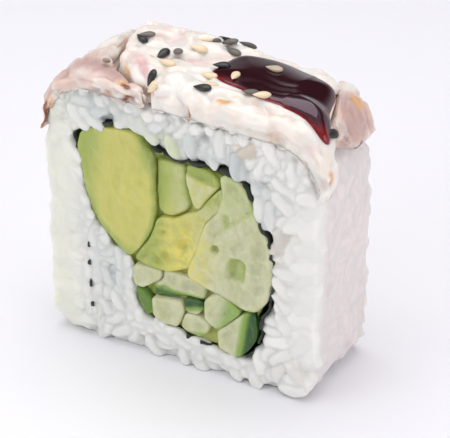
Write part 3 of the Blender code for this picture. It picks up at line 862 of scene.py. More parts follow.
# The outline of the soft flesh between the pieces, on the front cut, and how deep its front and back lie
MUSH = np.array([
    (-20.2, 38.6), (-17.6, 43.0), (-9.0, 43.8), (-4.8, 41.0), (6.0, 39.6), (12.4, 37.4), (15.9, 30.6),
    (16.9, 22.0), (15.9, 16.6), (14.5, 13.6), (14.5, 8.3), (11.0, 5.2), (1.0, 6.8), (-6.8, 7.6),
    (-9.8, 12.6), (-11.2, 14.2), (-12.4, 15.6), (-14.4, 19.4), (-17.2, 23.0), (-19.4, 28.6),
])
MUSH_FRONT = FRONT_CUT + 2.05
MUSH_BACK = FRONT_CUT + 3.5
MUSH_STEP = 0.7

# The wedge's facet, and the middle of the yellow heart that spreads over the middle piece and the core
WEDGE_FACET = np.array([(1.1, 38.4), (7.0, 37.2), (3.4, 31.7)])
HEART = (1.8, 22.6)


def pit(x: Array, z: Array, place: tuple[float, float], half: tuple[float, float], depth: float) -> Array:
    """A hollow with nearly square sides, its floor at that depth and its edges at half its size."""
    off = (((x - place[0]) / half[0]) ** 4 + ((z - place[1]) / half[1]) ** 4) ** 0.25
    return depth * smoothstep(1.2, 0.5, off)


def heart(x: Array, z: Array, size: float) -> Array:
    """How near a place is to the yellow heart, by a bell of that size, drawn out upwards."""
    return bell(np.hypot(x - HEART[0], (z - HEART[1]) * 0.8), 0, size)

@dataclass
class CutPiece:
    """A piece of filling that runs from cut to cut, with soft rims and its own relief on the cut.

    Args:
        node: the CAD node it stands for.
        finish: the material.
        slot: the name of a material slot; not used.
        rim: the radius of its cut edges.
        relief: how deep the cut's own lumps are.
        grow: how far it swells past the solid's outline, to meet its neighbours.
        colour: gives the marks from the cut's X and Z and each point's distance from the outline.
        spacing: the distance between the cap's points.
        carve: gives how far the cut is hollowed at an X and Z.
        rings: how many rings of points its wall has.
    """

    node: str
    finish: bpy.types.Material
    slot: str
    colour: Callable[[Array, Array, Array], dict[str, Array]]
    rim: float = 0.16
    relief: float = 0.3
    grow: float = 0.17
    spacing: float = 0.45
    carve: Callable[[Array, Array], Array] | None = None
    rings: int = 9

    def build(self) -> bpy.types.Object:
        """Makes the piece: a cap at each cut, its height rounding over at the rim, and a wall between.

        A cap's depth at distance d from the outline is the rim's quarter circle, plus ripples that
        fade out at the rim. The wall is straight from the one outline to the other.
        """
        low, high = (np.array(c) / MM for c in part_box(self.node))
        loop = softened(resampled(front_loop(self.node), 0.5), 1)
        after = np.roll(loop, -1, axis=0)
        turning = np.sum(loop[:, 0] * after[:, 1] - loop[:, 1] * after[:, 0])
        loop = loop + self.grow * np.sign(turning) * sideways(loop)
        points, triangles = cap([loop], self.spacing)
        distance = distance_to(loop, points)
        inner = np.minimum(distance, self.rim)
        sink = self.rim - np.sqrt(np.maximum(self.rim**2 - (self.rim - inner) ** 2, 0.0))
        seed = sum(map(ord, self.node))
        flat = stood(points, 0.0)
        lumps = ripple(flat, 5.5, seed) - 1.1 * np.abs(ripple(flat, 4.2, seed + 2))
        lumps += 0.35 * ripple(flat, 1.7, seed + 1)
        lumps *= self.relief * smoothstep(0.2, 1.6, distance)
        marks = self.colour(points[:, 0], points[:, 1], distance)
        if self.carve:
            sink = sink + self.carve(points[:, 0], points[:, 1])
        sink = sink + np.maximum(-lumps, 0.0)
        ends = [stood(points, low[1] + sink), stood(settle(points, 1.0), high[1] - sink)]
        edge = slice(0, len(loop))
        shares = np.linspace(0, 1, self.rings)[:, None]
        depth = ends[0][edge, 1] + shares * (ends[1][edge, 1] - ends[0][edge, 1])
        wall = stood(settle(loop, shares), depth)
        quads = bands(np.arange(depth.size).reshape(depth.shape))
        wall_marks = {name: np.tile(values[edge], self.rings) for name, values in marks.items()}
        shells = [
            Shell(ends[0], triangles[:, ::-1].tolist(), marks), Shell(ends[1], triangles.tolist(), marks),
            Shell(wall.reshape(-1, 3), quads.tolist(), wall_marks),
        ]
        mesh = oriented(Shell.joined(shells).mesh(self.node + "_flesh"))
        return dress(self.node + "_flesh", mesh, self.finish, (self.node,))


@dataclass
class Filling:
    """The avocado and cucumber in the middle of the roll."""

    avocado: AvocadoFinish = AvocadoFinish("avocado")
    cucumber: CucumberFinish = CucumberFinish("cucumber")

    @staticmethod
    def slice_facet(x: Array, z: Array) -> Array:
        """How far below and left of the slice's facet line a place is, or 0."""
        return np.maximum(-0.839 * (x + 18.5) - 0.547 * (z - 31.0), 0.0)

    def green_slice(self, x: Array, z: Array, d: Array) -> dict[str, Array]:
        """The large slice: lime at its left and lower edges, olive at its top right, yellow inside."""
        lower_left = smoothstep(31.0, 27.0, z) * smoothstep(-8.0, -10.0, x)
        band = smoothstep(-13.0, -18.5, x + 0.15 * (38.0 - z)) + 1.2 * bell(d, 0, 1.3) * lower_left
        olive = bell(np.hypot((x + 5.6) / 2.2, (z - 40.0) / 3.4), 0, 1.0)
        right = bell(d, 0, 0.7) * smoothstep(-9.0, -6.0, x)
        green = 0.12 + 0.75 * np.minimum(band, 1.2) + 0.9 * right + 0.9 * olive
        return {"green": green, "yolk": 0.35 * bell(np.hypot(x + 8.0, z - 33.0), 0, 5.0), "pale": 0 * x}

    def green_strip(self, x: Array, z: Array, d: Array) -> dict[str, Array]:
        """The strip: green all over, most at its left edge and top."""
        green = 0.7 + 0.5 * smoothstep(-2.0, -4.5, x) + 0.3 * bell(d, 0, 0.5)
        green -= 0.3 * smoothstep(34.0, 30.0, z)
        return {"green": green, "yolk": 0 * x, "pale": 0.5 * smoothstep(-3.0, 0.5, x)}

    def carved_slice(self, x: Array, z: Array) -> Array:
        """The large slice falls away below its facet line."""
        return np.minimum(0.25 * self.slice_facet(x, z), 0.7)

    @staticmethod
    def carved_wedge(x: Array, z: Array) -> Array:
        """The wedge steps back round its facet."""
        return 0.5 * smoothstep(0.15, -0.45, within(WEDGE_FACET, x, z))

    def green_wedge(self, x: Array, z: Array, d: Array) -> dict[str, Array]:
        """The wedge: a yellow facet in a green rim."""
        rim = smoothstep(0.3, -0.3, within(WEDGE_FACET, x, z))
        return {"green": 0.2 + 0.75 * rim, "yolk": 0 * x, "pale": 0.9 * (1 - rim)}

    def green_middle(self, x: Array, z: Array, d: Array) -> dict[str, Array]:
        """The middle piece: yellow in its heart, green at its left and top, pale to the right."""
        green = 0.25 + 0.6 * smoothstep(29.5, 35.0, z) + 0.6 * smoothstep(-1.0, -6.0, x)
        yolk = 1.1 * heart(x, z, 3.6) + 0.3 * bell(x, -0.5, 4.0)
        return {"green": green, "yolk": yolk, "pale": 0.6 * smoothstep(0.0, 5.0, x)}

    @staticmethod
    def middle_pits(x: Array, z: Array) -> Array:
        """The middle piece's small hole."""
        return pit(x, z, (0.2, 24.3), (0.9, 0.8), 0.8)

    @staticmethod
    def core_pits(x: Array, z: Array) -> Array:
        """The cucumber's hollows: a squarish one and two small ones."""
        square = pit(x, z, (11.0, 22.4), (1.8, 2.2), 1.2)
        small = pit(x, z, (6.8, 25.3), (0.8, 0.8), 1.1) + pit(x, z, (9.0, 31.5), (0.7, 1.5), 0.5)
        return square + small + 0.35 * bell(z - 0.9 * x, 22.0, 0.6) * smoothstep(26.0, 29.0, z)

    def carved_core(self, x: Array, z: Array) -> Array:
        """The cucumber lies a touch behind the middle piece, whose edge hides its own."""
        return self.core_pits(x, z) + 0.12

    def core_flesh(self, x: Array, z: Array, d: Array) -> dict[str, Array]:
        """The cucumber's heart: pale, greener and darker in its hollows, partly the seed flesh's own colour
        and partly painted shade, greener at its top, and yellow at its left.
        """
        # The hollows' seed colour is partly the flesh's own and partly painted shade.
        seeds = np.minimum(self.core_pits(x, z) * 1.2, 1.0) + 0.4 * smoothstep(27.0, 35.0, z)
        yolk = 0.9 * heart(x, z, 4.4) + 0.5 * smoothstep(7.0, 3.0, x)
        return {"skin": 0.2 * bell(d, 0.0, 0.4), "seed": np.clip(seeds, 0, 1), "yolk": np.clip(yolk, 0, 1)}

    @staticmethod
    def skinned(direction: tuple[float, float], reach: float, depth: float, most: float) -> Callable:
        """Skin on the side of a stick that faces a direction.

        Args:
            direction: X and Z of the side.
            reach: how far along that direction the skin begins.
            depth: how thick the green rind is.
            most: how far towards the skin the green goes.

        Returns:
            A function that gives the marks.
        """
        def marks(x: Array, z: Array, d: Array) -> dict[str, Array]:
            along = x * direction[0] + z * direction[1]
            return {"skin": most * smoothstep(reach - depth, reach, along), "seed": 0 * x, "yolk": 0 * x}
        return marks

    def mush(self, finish: bpy.types.Material) -> bpy.types.Object:
        """Soft flesh pressed between the pieces, a little behind the front cut."""
        loop = softened(resampled(MUSH, MUSH_STEP), 3)
        points, triangles = cap([loop], MUSH_STEP)
        flat = stood(points, 0.0)
        near = smoothstep(2.6, 1.2, distance_to(loop, points))
        front = MUSH_FRONT - 0.5 * near + 0.2 * ripple(flat, 3.0, 61) + 0.12 * ripple(flat, 1.3, 62)
        body = Shell.through([stood(points, front), stood(points, MUSH_BACK)], triangles, [len(loop)])
        x, _, z = body.vertices.T
        seam = bell(x, -4.6, 1.4) * smoothstep(26.0, 29.0, z)
        green = 0.55 + 0.2 * ripple(body.vertices, 6.0, 63) + 0.8 * seam
        body.marks = {"green": green, "yolk": 0 * green, "pale": 0 * green}
        return dress("avocado_mush", oriented(body.mesh("avocado_mush")), finish)

    def build(self) -> None:
        """Makes every piece of the filling."""
        cucumber, avocado = self.cucumber.paint(), self.avocado.paint()
        pieces = [
            CutPiece("avocado_slice", avocado, "avocado", self.green_slice, relief=0.18,
                     carve=self.carved_slice),
            CutPiece("avocado_strip", avocado, "avocado_edge", self.green_strip, rim=0.7, relief=0.15),
            CutPiece("avocado_wedge", avocado, "avocado", self.green_wedge, relief=0.1,
                     carve=self.carved_wedge),
            CutPiece("avocado_middle", avocado, "avocado", self.green_middle, rim=0.08, relief=0.4,
                     carve=self.middle_pits),
            CutPiece("cucumber_core", cucumber, "cucumber", self.core_flesh, grow=0.6,
                     carve=self.carved_core),
        ]
        sticks = {
            "cucumber_stick_a": ("cucumber", (-0.8, -0.3), 4.6, 2.0, 0.4),
            "cucumber_stick_b": ("cucumber_skin", (-1, 0), 6.4, 3.0, 0.78),
            "cucumber_stick_c": ("cucumber", (0, -1), -7.0, 1.2, 0.5),
            "cucumber_strip": ("cucumber_skin", (0, -1), -13.8, 1.6, 0.85),
            "cucumber_bit": ("cucumber_skin", (-0.3, 1), 12.6, 2.8, 1.0),
            "cucumber_stick_d": ("cucumber", (1, -0.3), 6.2, 5.0, 0.5),
            "cucumber_stick_e": ("cucumber_skin", (1, -0.15), 12.7, 4.0, 1.0),
            "cucumber_stick_f": ("cucumber", (0.2, -1), -6.6, 1.5, 0.5),
        }
        for node, (slot, *side) in sticks.items():
            pieces.append(CutPiece(node, cucumber, slot, self.skinned(*side), relief=0.25))
        for piece in pieces:
            piece.build()
        self.mush(avocado)


# Where the nori shows on the front cut, by its place and how far round it, and its four dots at the left.
# The dots bring the nori's dark edge out to the cut; they stand partly for the nori and partly for painted
# shadow in small holes in the rice.
NORI_SHOWS = [
    ((-20.3, 39.3), 2.0), ((-14.6, 43.4), 2.2), ((-4.6, 41.6), 1.2), ((-1.0, 40.2), 2.6), ((4.4, 40.4), 3.2),
    ((9.4, 40.0), 2.6), ((13.2, 37.8), 2.0), ((16.4, 30.8), 2.8), ((17.6, 25.4), 2.4), ((17.8, 20.6), 2.8),
    ((16.4, 16.0), 2.2), ((15.6, 11.4), 3.0), ((13.6, 6.6), 1.6), ((5.2, 6.4), 1.5), ((2.2, 7.0), 1.2),
]
NORI_DOTS = [((-18.3, 19.5), 1.1), ((-18.2, 15.8), 0.9), ((-18.2, 11.7), 1.2), ((-17.9, 7.3), 1.0)]
NORI_POINTS = 420


def shown(places: Array, spots: list[tuple[tuple[float, float], float]]) -> Array:
    """How far each place on the cut is within one of the spots, by a bell of its size."""
    return np.max([bell(np.hypot(*(places - place).T), 0, size) for place, size in spots], axis=0)


def nori_lines() -> tuple[Array, list[Array]]:
    """The middle line of the solid nori's cut, and its two long sides."""
    loop = front_loop("nori")
    lengths = np.linalg.norm(np.roll(loop, -1, axis=0) - loop, axis=1)
    ends = np.sort(np.argsort(lengths)[:2])
    side = loop[ends[0] + 1:ends[1] + 1]
    other = np.roll(loop, -(ends[1] + 1), axis=0)[:len(loop) - len(side)][::-1]
    share = np.linspace(0, 1, NORI_POINTS)
    sides = []
    for line in (side, other):
        run = run_along(line)
        sides.append(spread(line, run, share * run[-1]))
    return sum(sides) / 2, sides


@dataclass
class Nori:
    """The sheet of nori: a strip along its spiral line, wrinkled, with a torn edge at each cut.

    Args:
        finish: its finish.
        wrinkle: how far it is wrinkled.
        torn: how far its edges are torn.
        half: half its thickness.
        hidden: how deep its front edge lies where the rice hides it.
        out: how far its front edge may stand out.
        columns: how many points it has from cut to cut.
    """

    finish: NoriFinish = NoriFinish()
    wrinkle: float = 0.13
    torn: float = 0.45
    half: float = 0.20
    hidden: float = 1.5
    out: float = 0.75
    columns: int = 25

    def build(self) -> bpy.types.Object:
        """Makes the sheet: two sheets at half its thickness either side of the spiral's middle line.

        The middle line is halfway between the two long sides of the solid's strip. A point's shift
        along the strip's normal is a ripple, and its depth runs from one torn edge to the other.
        """
        middle, _ = nori_lines()
        share = np.linspace(0, 1, NORI_POINTS)[:, None]
        across = np.linspace(0, 1, self.columns)
        low, high = (np.array(c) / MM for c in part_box("nori"))
        flat = stood(middle, 0.0)
        deep = self.hidden * smoothstep(0.6, 0.2, shown(middle, NORI_SHOWS))
        # The dots pull the dark nori out to the cut: partly the nori, partly painted shadow in small holes.
        deep -= 2.6 * shown(middle, NORI_DOTS)
        front = low[1] + np.maximum(deep + self.torn * ripple(flat, 2.6, 5) - 0.1, -self.out)
        back = high[1] - 0.2 + self.torn * ripple(flat, 2.6, 6)
        depth = front[:, None] + across * (back - front)[:, None]
        run = settle(middle[:, None], across)
        along = unit(np.gradient(run, axis=0))
        normal = np.stack([along[..., 1], -along[..., 0]], -1)
        points = stood(run, depth)
        shift = self.wrinkle * ripple(points, 3.2, 9) * smoothstep(0.0, 0.06, share)
        half = self.half + 0.05 * ripple(points, 5.0, 4)
        sheets = [stood(run + normal * (shift + sign * half)[..., None], depth) for sign in (1, -1)]
        mesh = oriented(Shell.slab(*sheets).mesh("nori_sheet"))
        return dress("nori_sheet", mesh, self.finish.paint(), ("nori",))


# Fish

FISH_THICKNESS = 4.8
FISH_LIFT = 0.4
FISH_FRONT = -12.5
LEFT_HANG = 39.5
RIGHT_HANG = 40.0

# How sharply the flakes meet, how far below the slab they bottom out, and how many are drawn at random
RIDGE_SHARP = 7.0
RIDGE_FLOOR = -0.75
FLAKE_TRIES = 220

# A slice's distance between rows, and its points across
ROW_STEP = 0.3
SLICE_COLUMNS = 125

Line = list[tuple[float, float]]
Point = tuple[float, float, float]


def drape_line() -> Array:
    """The line that the fish lies on: up the left side, over the top and down the right side."""
    half = ROLL_WIDTH / 2 - COVER + FISH_LIFT
    left, right = CORNERS["top_left"], CORNERS["top_right"]
    return np.concatenate([
        [(-half, LEFT_HANG)],
        corner_arc((left - half, RICE_TOP_LEFT + FISH_LIFT - left), left, 90, 24)[::-1],
        corner_arc((half - right, RICE_TOP + FISH_LIFT - right), right, 0, 24)[::-1],
        [(half, RIGHT_HANG - 8.0)],
    ])


DRAPE = drape_line()
DRAPE_RUN = run_along(DRAPE)
RIGHT_END = float(np.interp(-RIGHT_HANG, -DRAPE[-2:, 1], DRAPE_RUN[-2:]))


def on_drape(along: Array, y: Array, lift: Array) -> Array:
    """Points at a length along the drape and a Y, lifted off the rice along its normal."""
    x, z = (np.interp(along, DRAPE_RUN, DRAPE[:, k]) for k in (0, 1))
    dx, dz = (
        np.interp(along + 0.8, DRAPE_RUN, DRAPE[:, k]) - np.interp(along - 0.8, DRAPE_RUN, DRAPE[:, k])
        for k in (0, 1)
    )
    length = np.hypot(dx, dz)
    return np.stack([x - lift * dz / length, y + 0 * along, z + lift * dx / length], -1)


def at(line: Line, along: Array) -> Array:
    """The value there of a line given as (place, value) pairs."""
    places, values = zip(*line)
    return np.interp(along, places, values)


LOBES = each(
    Spot, (31, -9, 6, 3.2, 0, 0.9), (42, -9.3, 7, 3, 0, 1), (52, -8.6, 5, 3.4, 0, 0.6),
    (24, -3, 5, 3.6, 0, 0.8), (28, 6.5, 7, 4.5, 0, 1.1), (38, 7.6, 7, 3, 0, 0.4),
    (18, 4.5, 4, 4.5, 0, -0.5), (22.5, 1, 2.2, 5, 0, -0.7), (35.5, -10.8, 1.6, 2.6, 0, -0.9),
    (12, -6, 4, 5, 0, 0.4), (6, 2, 4, 6, 0, 0.5),
)


@dataclass(frozen=True)
class Flake:
    """A rounded flake of fish: a ridge along a line between two places in space.

    Args:
        start: one end of its line, in millimetres.
        end: the other end.
        width: half its width.
        height: how far its crest rises.
    """

    start: Point
    end: Point
    width: float
    height: float

    def ridge(self, points: Array) -> Array:
        """Its height there: its crest's, less 1.1 times the square of the distance over its width."""
        start, way = np.array(self.start), np.array(self.end) - self.start
        share = np.clip((points - start) @ way / (way @ way), 0, 1)
        away = np.linalg.norm(points - start - share[..., None] * way, axis=-1)
        return self.height - 1.1 * (away / self.width) ** 2


def flaked(points: Array, flakes: list[Flake]) -> Array:
    """How far the flakes lift a surface: the smooth maximum of their ridges and of a floor.

    It is the logarithm of the sum of the exponentials of the ridges, times their sharpness, over it.
    """
    total = np.full(points.shape[:-1], math.exp(RIDGE_SHARP * RIDGE_FLOOR))
    for flake in flakes:
        total += np.exp(RIDGE_SHARP * flake.ridge(points))
    return np.log(total) / RIDGE_SHARP


LEFT_FLAKES = each(
    Flake, ((-21.1, -9, 52), (-11, -8.6, 52.9), 3, 0.3),
    ((-19.5, -12, 50.6), (-7, -11.6, 49.6), 1.3, 0.2), ((-22, -3, 52.2), (-17, 0.5, 53.2), 3, 0.3),
    ((-23.5, 3.5, 50.8), (-18, 7.5, 52.6), 3.2, 0.4), ((-26.6, -9, 46.5), (-24.8, -8.5, 50.2), 2.6, 0.35),
    ((-26.6, -1.5, 45), (-24.6, 0, 50.3), 3, 0.3), ((-26.6, 7, 45), (-24.6, 7, 50), 3, 0.3),
    ((-11.4, -10.4, 52.4), (-9, -11.4, 51.6), 1.4, 0.3),
    ((-26.6, -10.5, 41), (-26.6, -10.5, 44), 1.6, 0.2), ((-15.5, -4.5, 53.6), (-12.6, -2, 54), 2.2, 0.3),
)
MAIN_FLAKES = each(
    Flake, ((-18.3, 1.4, 51.6), (-7.6, -11.9, 52), 2.6, 0.35),
    ((-7.4, -12, 51), (-5.5, -11.4, 48.8), 1.8, 0.2), ((-7.8, -6.5, 54.3), (-3.6, -11.2, 53.2), 2.2, 0.4),
    ((-10.6, -1.3, 54.5), (-1.8, 3.8, 54.8), 2.7, 0.6), ((-4.4, -5.1, 54.6), (0.8, -2, 54.3), 2, 0.45),
    ((-1.4, -8, 54.6), (-0.8, -11.9, 49.8), 2.4, 0.65), ((-6.3, -9.9, 52), (-3.4, -12.3, 50), 1.7, 0.3),
    ((2.4, -10, 53.3), (6.2, -12, 50), 2.5, 0.6), ((8.2, -11.2, 52.4), (15.6, -11.6, 51.8), 2.3, 0.6),
    ((18, -10.8, 52.3), (22, -11.2, 50.6), 2.1, 0.5), ((22.6, -9.4, 51), (24.3, -10.6, 42.6), 2.7, 0.6),
    ((7, -12.1, 48.9), (18.6, -11.8, 47.4), 1.9, 0.4),
    ((20.4, -11.8, 48.4), (22.4, -11.6, 44.6), 1.6, 0.3), ((2, -8.6, 54.2), (10.4, -9, 53.8), 2.1, 0.4),
    ((-16, 6.2, 54.2), (-12, 8, 54.5), 2.4, 0.5), ((-11, 9.4, 54), (-2.6, 8.2, 55), 2, 0.35),
    ((8.3, 6.6, 53.8), (14, 6.4, 53.3), 2.4, 0.4), ((15.4, 5.6, 53.2), (22, 6.7, 51.8), 2.4, 0.4),
)
END_FLAKES = each(
    Flake, ((22.4, 6.2, 50.6), (26.2, 6, 47.8), 2.6, 0.3), ((25.2, 1.2, 49), (26.8, 2.4, 44.2), 2, 0.3),
    ((24, 3.6, 50), (27.2, 3.8, 46.4), 2, 0.3),
)


def fish_thickness(along: Array, y: Array) -> Array:
    """The fish's thickness: broad lobes and furrows on an even slab."""
    return FISH_THICKNESS + sum(lobe.rise(along, y) for lobe in LOBES)


def section_places(count: int) -> Array:
    """Places across a slice, -1 at its back and 1 at its front, spread evenly along its rounded section."""
    turn = np.linspace(-1, 1, 4001)
    fine = np.sign(turn) * (1 - (1 - np.abs(turn)) ** 3)
    height = FISH_THICKNESS * (1 - np.abs(fine) ** np.where(fine > 0, 3.2, 5.0)) ** 0.275
    steps = np.hypot(12.0 * np.diff(fine), np.diff(height))
    run = np.concatenate([[0.0], steps.cumsum()])
    return np.interp(np.linspace(0, run[-1], count), run, fine)


@dataclass
class Laid:
    """Points of a surface laid over the drape, one a row, with their outward normals.

    Args:
        along: their lengths along the drape.
        y: their Y before any shift.
        points: (n, 3).
        normals: (n, 3).
    """

    along: Array
    y: Array
    points: Array
    normals: Array

    def seat(self, along: float, y: float) -> tuple[float, Array, Array]:
        """How far off the nearest point is, that point and the mean normal round it."""
        off = np.hypot(self.along - along, self.y - y)
        normal = self.normals[off < off.min() + 0.9].mean(0)
        return float(off.min()), self.points[off.argmin()], unit(normal)


def grid_normals(points: Array) -> Array:
    """The outward normals of a grid whose rows run along the drape and columns towards -Y."""
    normal = np.cross(np.gradient(points, axis=1), np.gradient(points, axis=0))
    return normal / np.maximum(np.linalg.norm(normal, axis=-1, keepdims=True), 1e-9)


@dataclass
class Slice:
    """A slice of fish along the drape: its ends, its edges along Y, and how thick it is of full.

    Args:
        name: the piece's name.
        node: the CAD node it stands for.
        slot: the name of a material slot; not used.
        start: where it starts along the drape.
        end: where it ends.
        front: its front edge's Y along the drape.
        back: its back edge's Y.
        scale: its thickness, of full.
        flakes: its flakes.
        spots: for each mark, spots along the drape and Y that say how strong the mark is.
        taper: how far its ends take to reach full thickness.
    """

    name: str
    node: str
    slot: str
    start: float
    end: float
    front: Line
    back: Line
    scale: Line
    flakes: list[Flake]
    spots: dict[str, list[Spot]]
    taper: float = 2.6

    def fullness(self, along: Array) -> Array:
        """1 along most of the slice, rounding down to its two ends."""
        near = np.minimum(1.0, np.minimum(along - self.start, self.end - along) / self.taper)
        return np.sqrt(np.maximum(0.04, 1 - (1 - np.maximum(0.0, near)) ** 2))

    def lift(self, along: Array, y: Array) -> Array:
        """The height of the slice's surface over the drape, without its flakes."""
        front, back = at(self.front, along), at(self.back, along)
        across = np.clip((2 * y - front - back) / (back - front), -1, 1)
        rise = (1 - np.abs(across) ** np.where(across > 0, 5.0, 3.2)) ** 0.275
        full = fish_thickness(along, y) * at(self.scale, along) * self.fullness(along)
        return np.maximum(0.25, full * rise)

    def all_flakes(self, base: Array) -> list[Flake]:
        """The slice's own flakes, and ordinary ones drawn at random where it has none.

        Args:
            base: the surface's grid, (rows, columns, 3).

        Returns:
            The flakes.
        """
        rng = np.random.default_rng(len(self.name))
        flakes = list(self.flakes)
        rows, columns = base.shape[:2]
        for _ in range(FLAKE_TRIES):
            row, column = int(rng.integers(3, rows - 3)), int(rng.integers(3, columns - 3))
            shift_rows, shift_columns = int(rng.integers(-12, 13)), int(rng.integers(-8, 9))
            far_row, far_column = row + shift_rows, column + shift_columns
            far = base[np.clip(far_row, 0, rows - 1), np.clip(far_column, 0, columns - 1)]
            bare = flaked(base[row, column][None], flakes)[0] < RIDGE_FLOOR + 0.12
            if bare and np.linalg.norm(far - base[row, column]) > 0.8:
                size, height = float(rng.uniform(1.5, 2.4)), float(rng.uniform(0.1, 0.4))
                flakes.append(Flake(tuple(base[row, column]), tuple(far), size, height))
        return flakes

    def build(self, finish: bpy.types.Material, covered: Callable[[Array, Array], Array]) -> Laid:
        """Makes the slice: its upper sheet is lifted off the drape, and its lower one lies on it.

        Rows run along the drape and columns from the back edge to the front one. In front of the cut
        the section tucks back under itself and its edge hangs unevenly over the rice. Each point then
        moves along its normal by what the flakes lift, with finer ripples.

        Args:
            finish: its material.
            covered: says how far the sauce covers a place.

        Returns:
            The upper sheet.
        """
        rows = max(40, round((self.end - self.start) / ROW_STEP))
        share = 0.5 - 0.5 * np.cos(np.pi * np.linspace(0.04, 0.96, rows)) / math.cos(0.04 * math.pi)
        across = section_places(SLICE_COLUMNS)
        along = (self.start + (self.end - self.start) * share)[:, None] + 0 * across
        front, back = at(self.front, along), at(self.back, along)
        y = (front + back) / 2 - across * (back - front) / 2
        lift = self.lift(along, y)
        over = smoothstep(-11.9, -12.3, front) * (across > 0) * self.fullness(along)
        hang = np.stack([along, 0 * y, 0 * y], -1)
        uneven = 0.45 + 0.5 * ripple(hang, 3.0, 41) + 0.12 * ripple(hang, 1.5, 42)
        droop = over * smoothstep(1.6, 0.25, lift) * uneven
        tuck = over * 0.85 * smoothstep(2.8, 0.3, lift)
        base = on_drape(along, y + tuck, lift - droop)
        warped = base + 0.55 * np.stack([ripple(base, 4.5, seed) for seed in (31, 32, 33)], -1)
        relief = flaked(warped, self.all_flakes(base))
        rise = relief - 0.15 + 0.04 * ripple(base, 1.9, 22) + 0.015 * ripple(base, 0.9, 23)
        cover = covered(along, y)
        rise = rise * smoothstep(0.2, 1.0, lift) * (1 - cover) - 0.12 * cover
        low, high = (np.array(c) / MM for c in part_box(self.node))
        top = np.clip(base + grid_normals(base) * rise[..., None], low + CLEAR, high - CLEAR)
        under = on_drape(along, y + tuck + 0.5 * over * smoothstep(0.9, 1.0, across), -droop)
        marks = {mark: spotted(spots, along, y) for mark, spots in self.spots.items()}
        # The folds are pinker: partly the flesh's own colour, partly painted shade.
        crease = smoothstep(-0.05, -0.6, relief) * (1 - cover)
        marks["pink"] = marks["pink"] + 0.35 * crease
        marks["brown"] = marks["brown"] + self.seared(along, lift)
        mesh = oriented(Shell.slab(top, under, marks).mesh(self.name))
        dress(self.name, mesh, finish, (self.node,))
        return Laid(along.ravel(), y.ravel(), top.reshape(-1, 3), grid_normals(top).reshape(-1, 3))

    def seared(self, along: Array, lift: Array) -> Array:
        """How brown the lower edge is: a thin line, on the left slice only."""
        if self.node != "fish_slice_left":
            return 0 * along
        return 0.6 * bell(lift, 0.7, 0.4) * smoothstep(16.0, 20.0, along)


SEAM = [(13.2, 12.0), (14.5, 4.0), (15.4, -0.3), (17.3, -4.9), (20.4, -7.8), (23.4, -9.6), (27.0, -10.4)]
LEFT_SPOTS = {
    "pink": each(
        Spot, (12, -7.5, 9, 4, 0, 0.75), (20, -9.6, 6, 2, -12, 0.7), (4, -9, 4, 4, 0, 0.5),
        (6, 6, 6, 4, 0, 0.35),
    ),
    # grey: painted shade under the curled front edge and along the seam
    "grey": each(Spot, (9, -11.5, 6, 1.2, 0, 0.4), (17.7, -6.6, 1.6, 0.5, -60, 0.6)),
    "tan": each(Spot, (22.4, -11.2, 1.8, 1.1, 0, 0.8), (4.6, -12.3, 4.4, 1.2, 0, 0.8)),
    "brown": each(
        Spot, (22.5, -11.3, 0.9, 0.6, 0, 0.6), (23.6, -11.9, 1, 0.6, 0, 1), (3.6, -12.4, 3.6, 0.9, 0, 1),
    ),
}
MAIN_SPOTS = {
    "pink": each(
        Spot, (23.4, -6.3, 3.6, 0.9, -47, 1.2), (28, -1.5, 4.6, 0.6, 34, 0.6),
        (20, -4.6, 2.6, 1.3, -47, 0.4), (56.5, -10.5, 4, 1.5, 0, 0.25), (19, 8, 5, 3, 0, 0.45),
    ),
    # grey: painted shade, darker patches towards the back edge
    "grey": each(Spot, (23.8, 8.4, 5.6, 1.5, -12, 0.5), (36, 10.6, 6, 0.8, 0, 0.2)),
    "tan": each(
        Spot, (41, -10.7, 1.7, 0.7, 8, 0.95), (35.1, -12.5, 0.5, 1, 0, 0.7),
        (20.2, -6.6, 4.2, 0.5, -46, 0.7), (50.5, -12.6, 3.6, 0.5, 0, 0.5),
        (52.2, -10.1, 2.2, 1.2, 0, 0.5), (23.6, -3.9, 1.6, 0.5, -47, 0.8),
        (60.5, -10.8, 1.4, 0.9, 0, 0.8),
    ),
    "brown": each(
        Spot, (23, -5.6, 1.6, 0.4, -47, 0.5), (35.2, -12.7, 0.4, 0.5, 0, 0.8), (25, 10.9, 5, 0.5, 0, 0.8),
        (61, -11.2, 0.8, 0.7, 0, 0.7),
    ),
}
END_SPOTS = {
    "pink": each(Spot, (57, 3, 6, 6, 0, 0.95)),
    # grey: painted shade in the groove along the seam and at the front edge
    "grey": each(Spot, (56, -2, 3, 2, 0, 0.5), (54.4, 4.4, 1.2, 5, -18, 0.6)),
    "tan": each(
        Spot, (55.8, 6.2, 1.8, 1.6, 0, 0.9), (59.6, 2.4, 1.2, 1.4, 0, 0.5), (55.4, 0.6, 2, 0.6, -60, 0.5),
    ),
    "brown": each(Spot, (60.8, 3, 1, 1.8, 0, 1), (58.6, -0.8, 1.4, 0.6, 40, 0.7)),
}

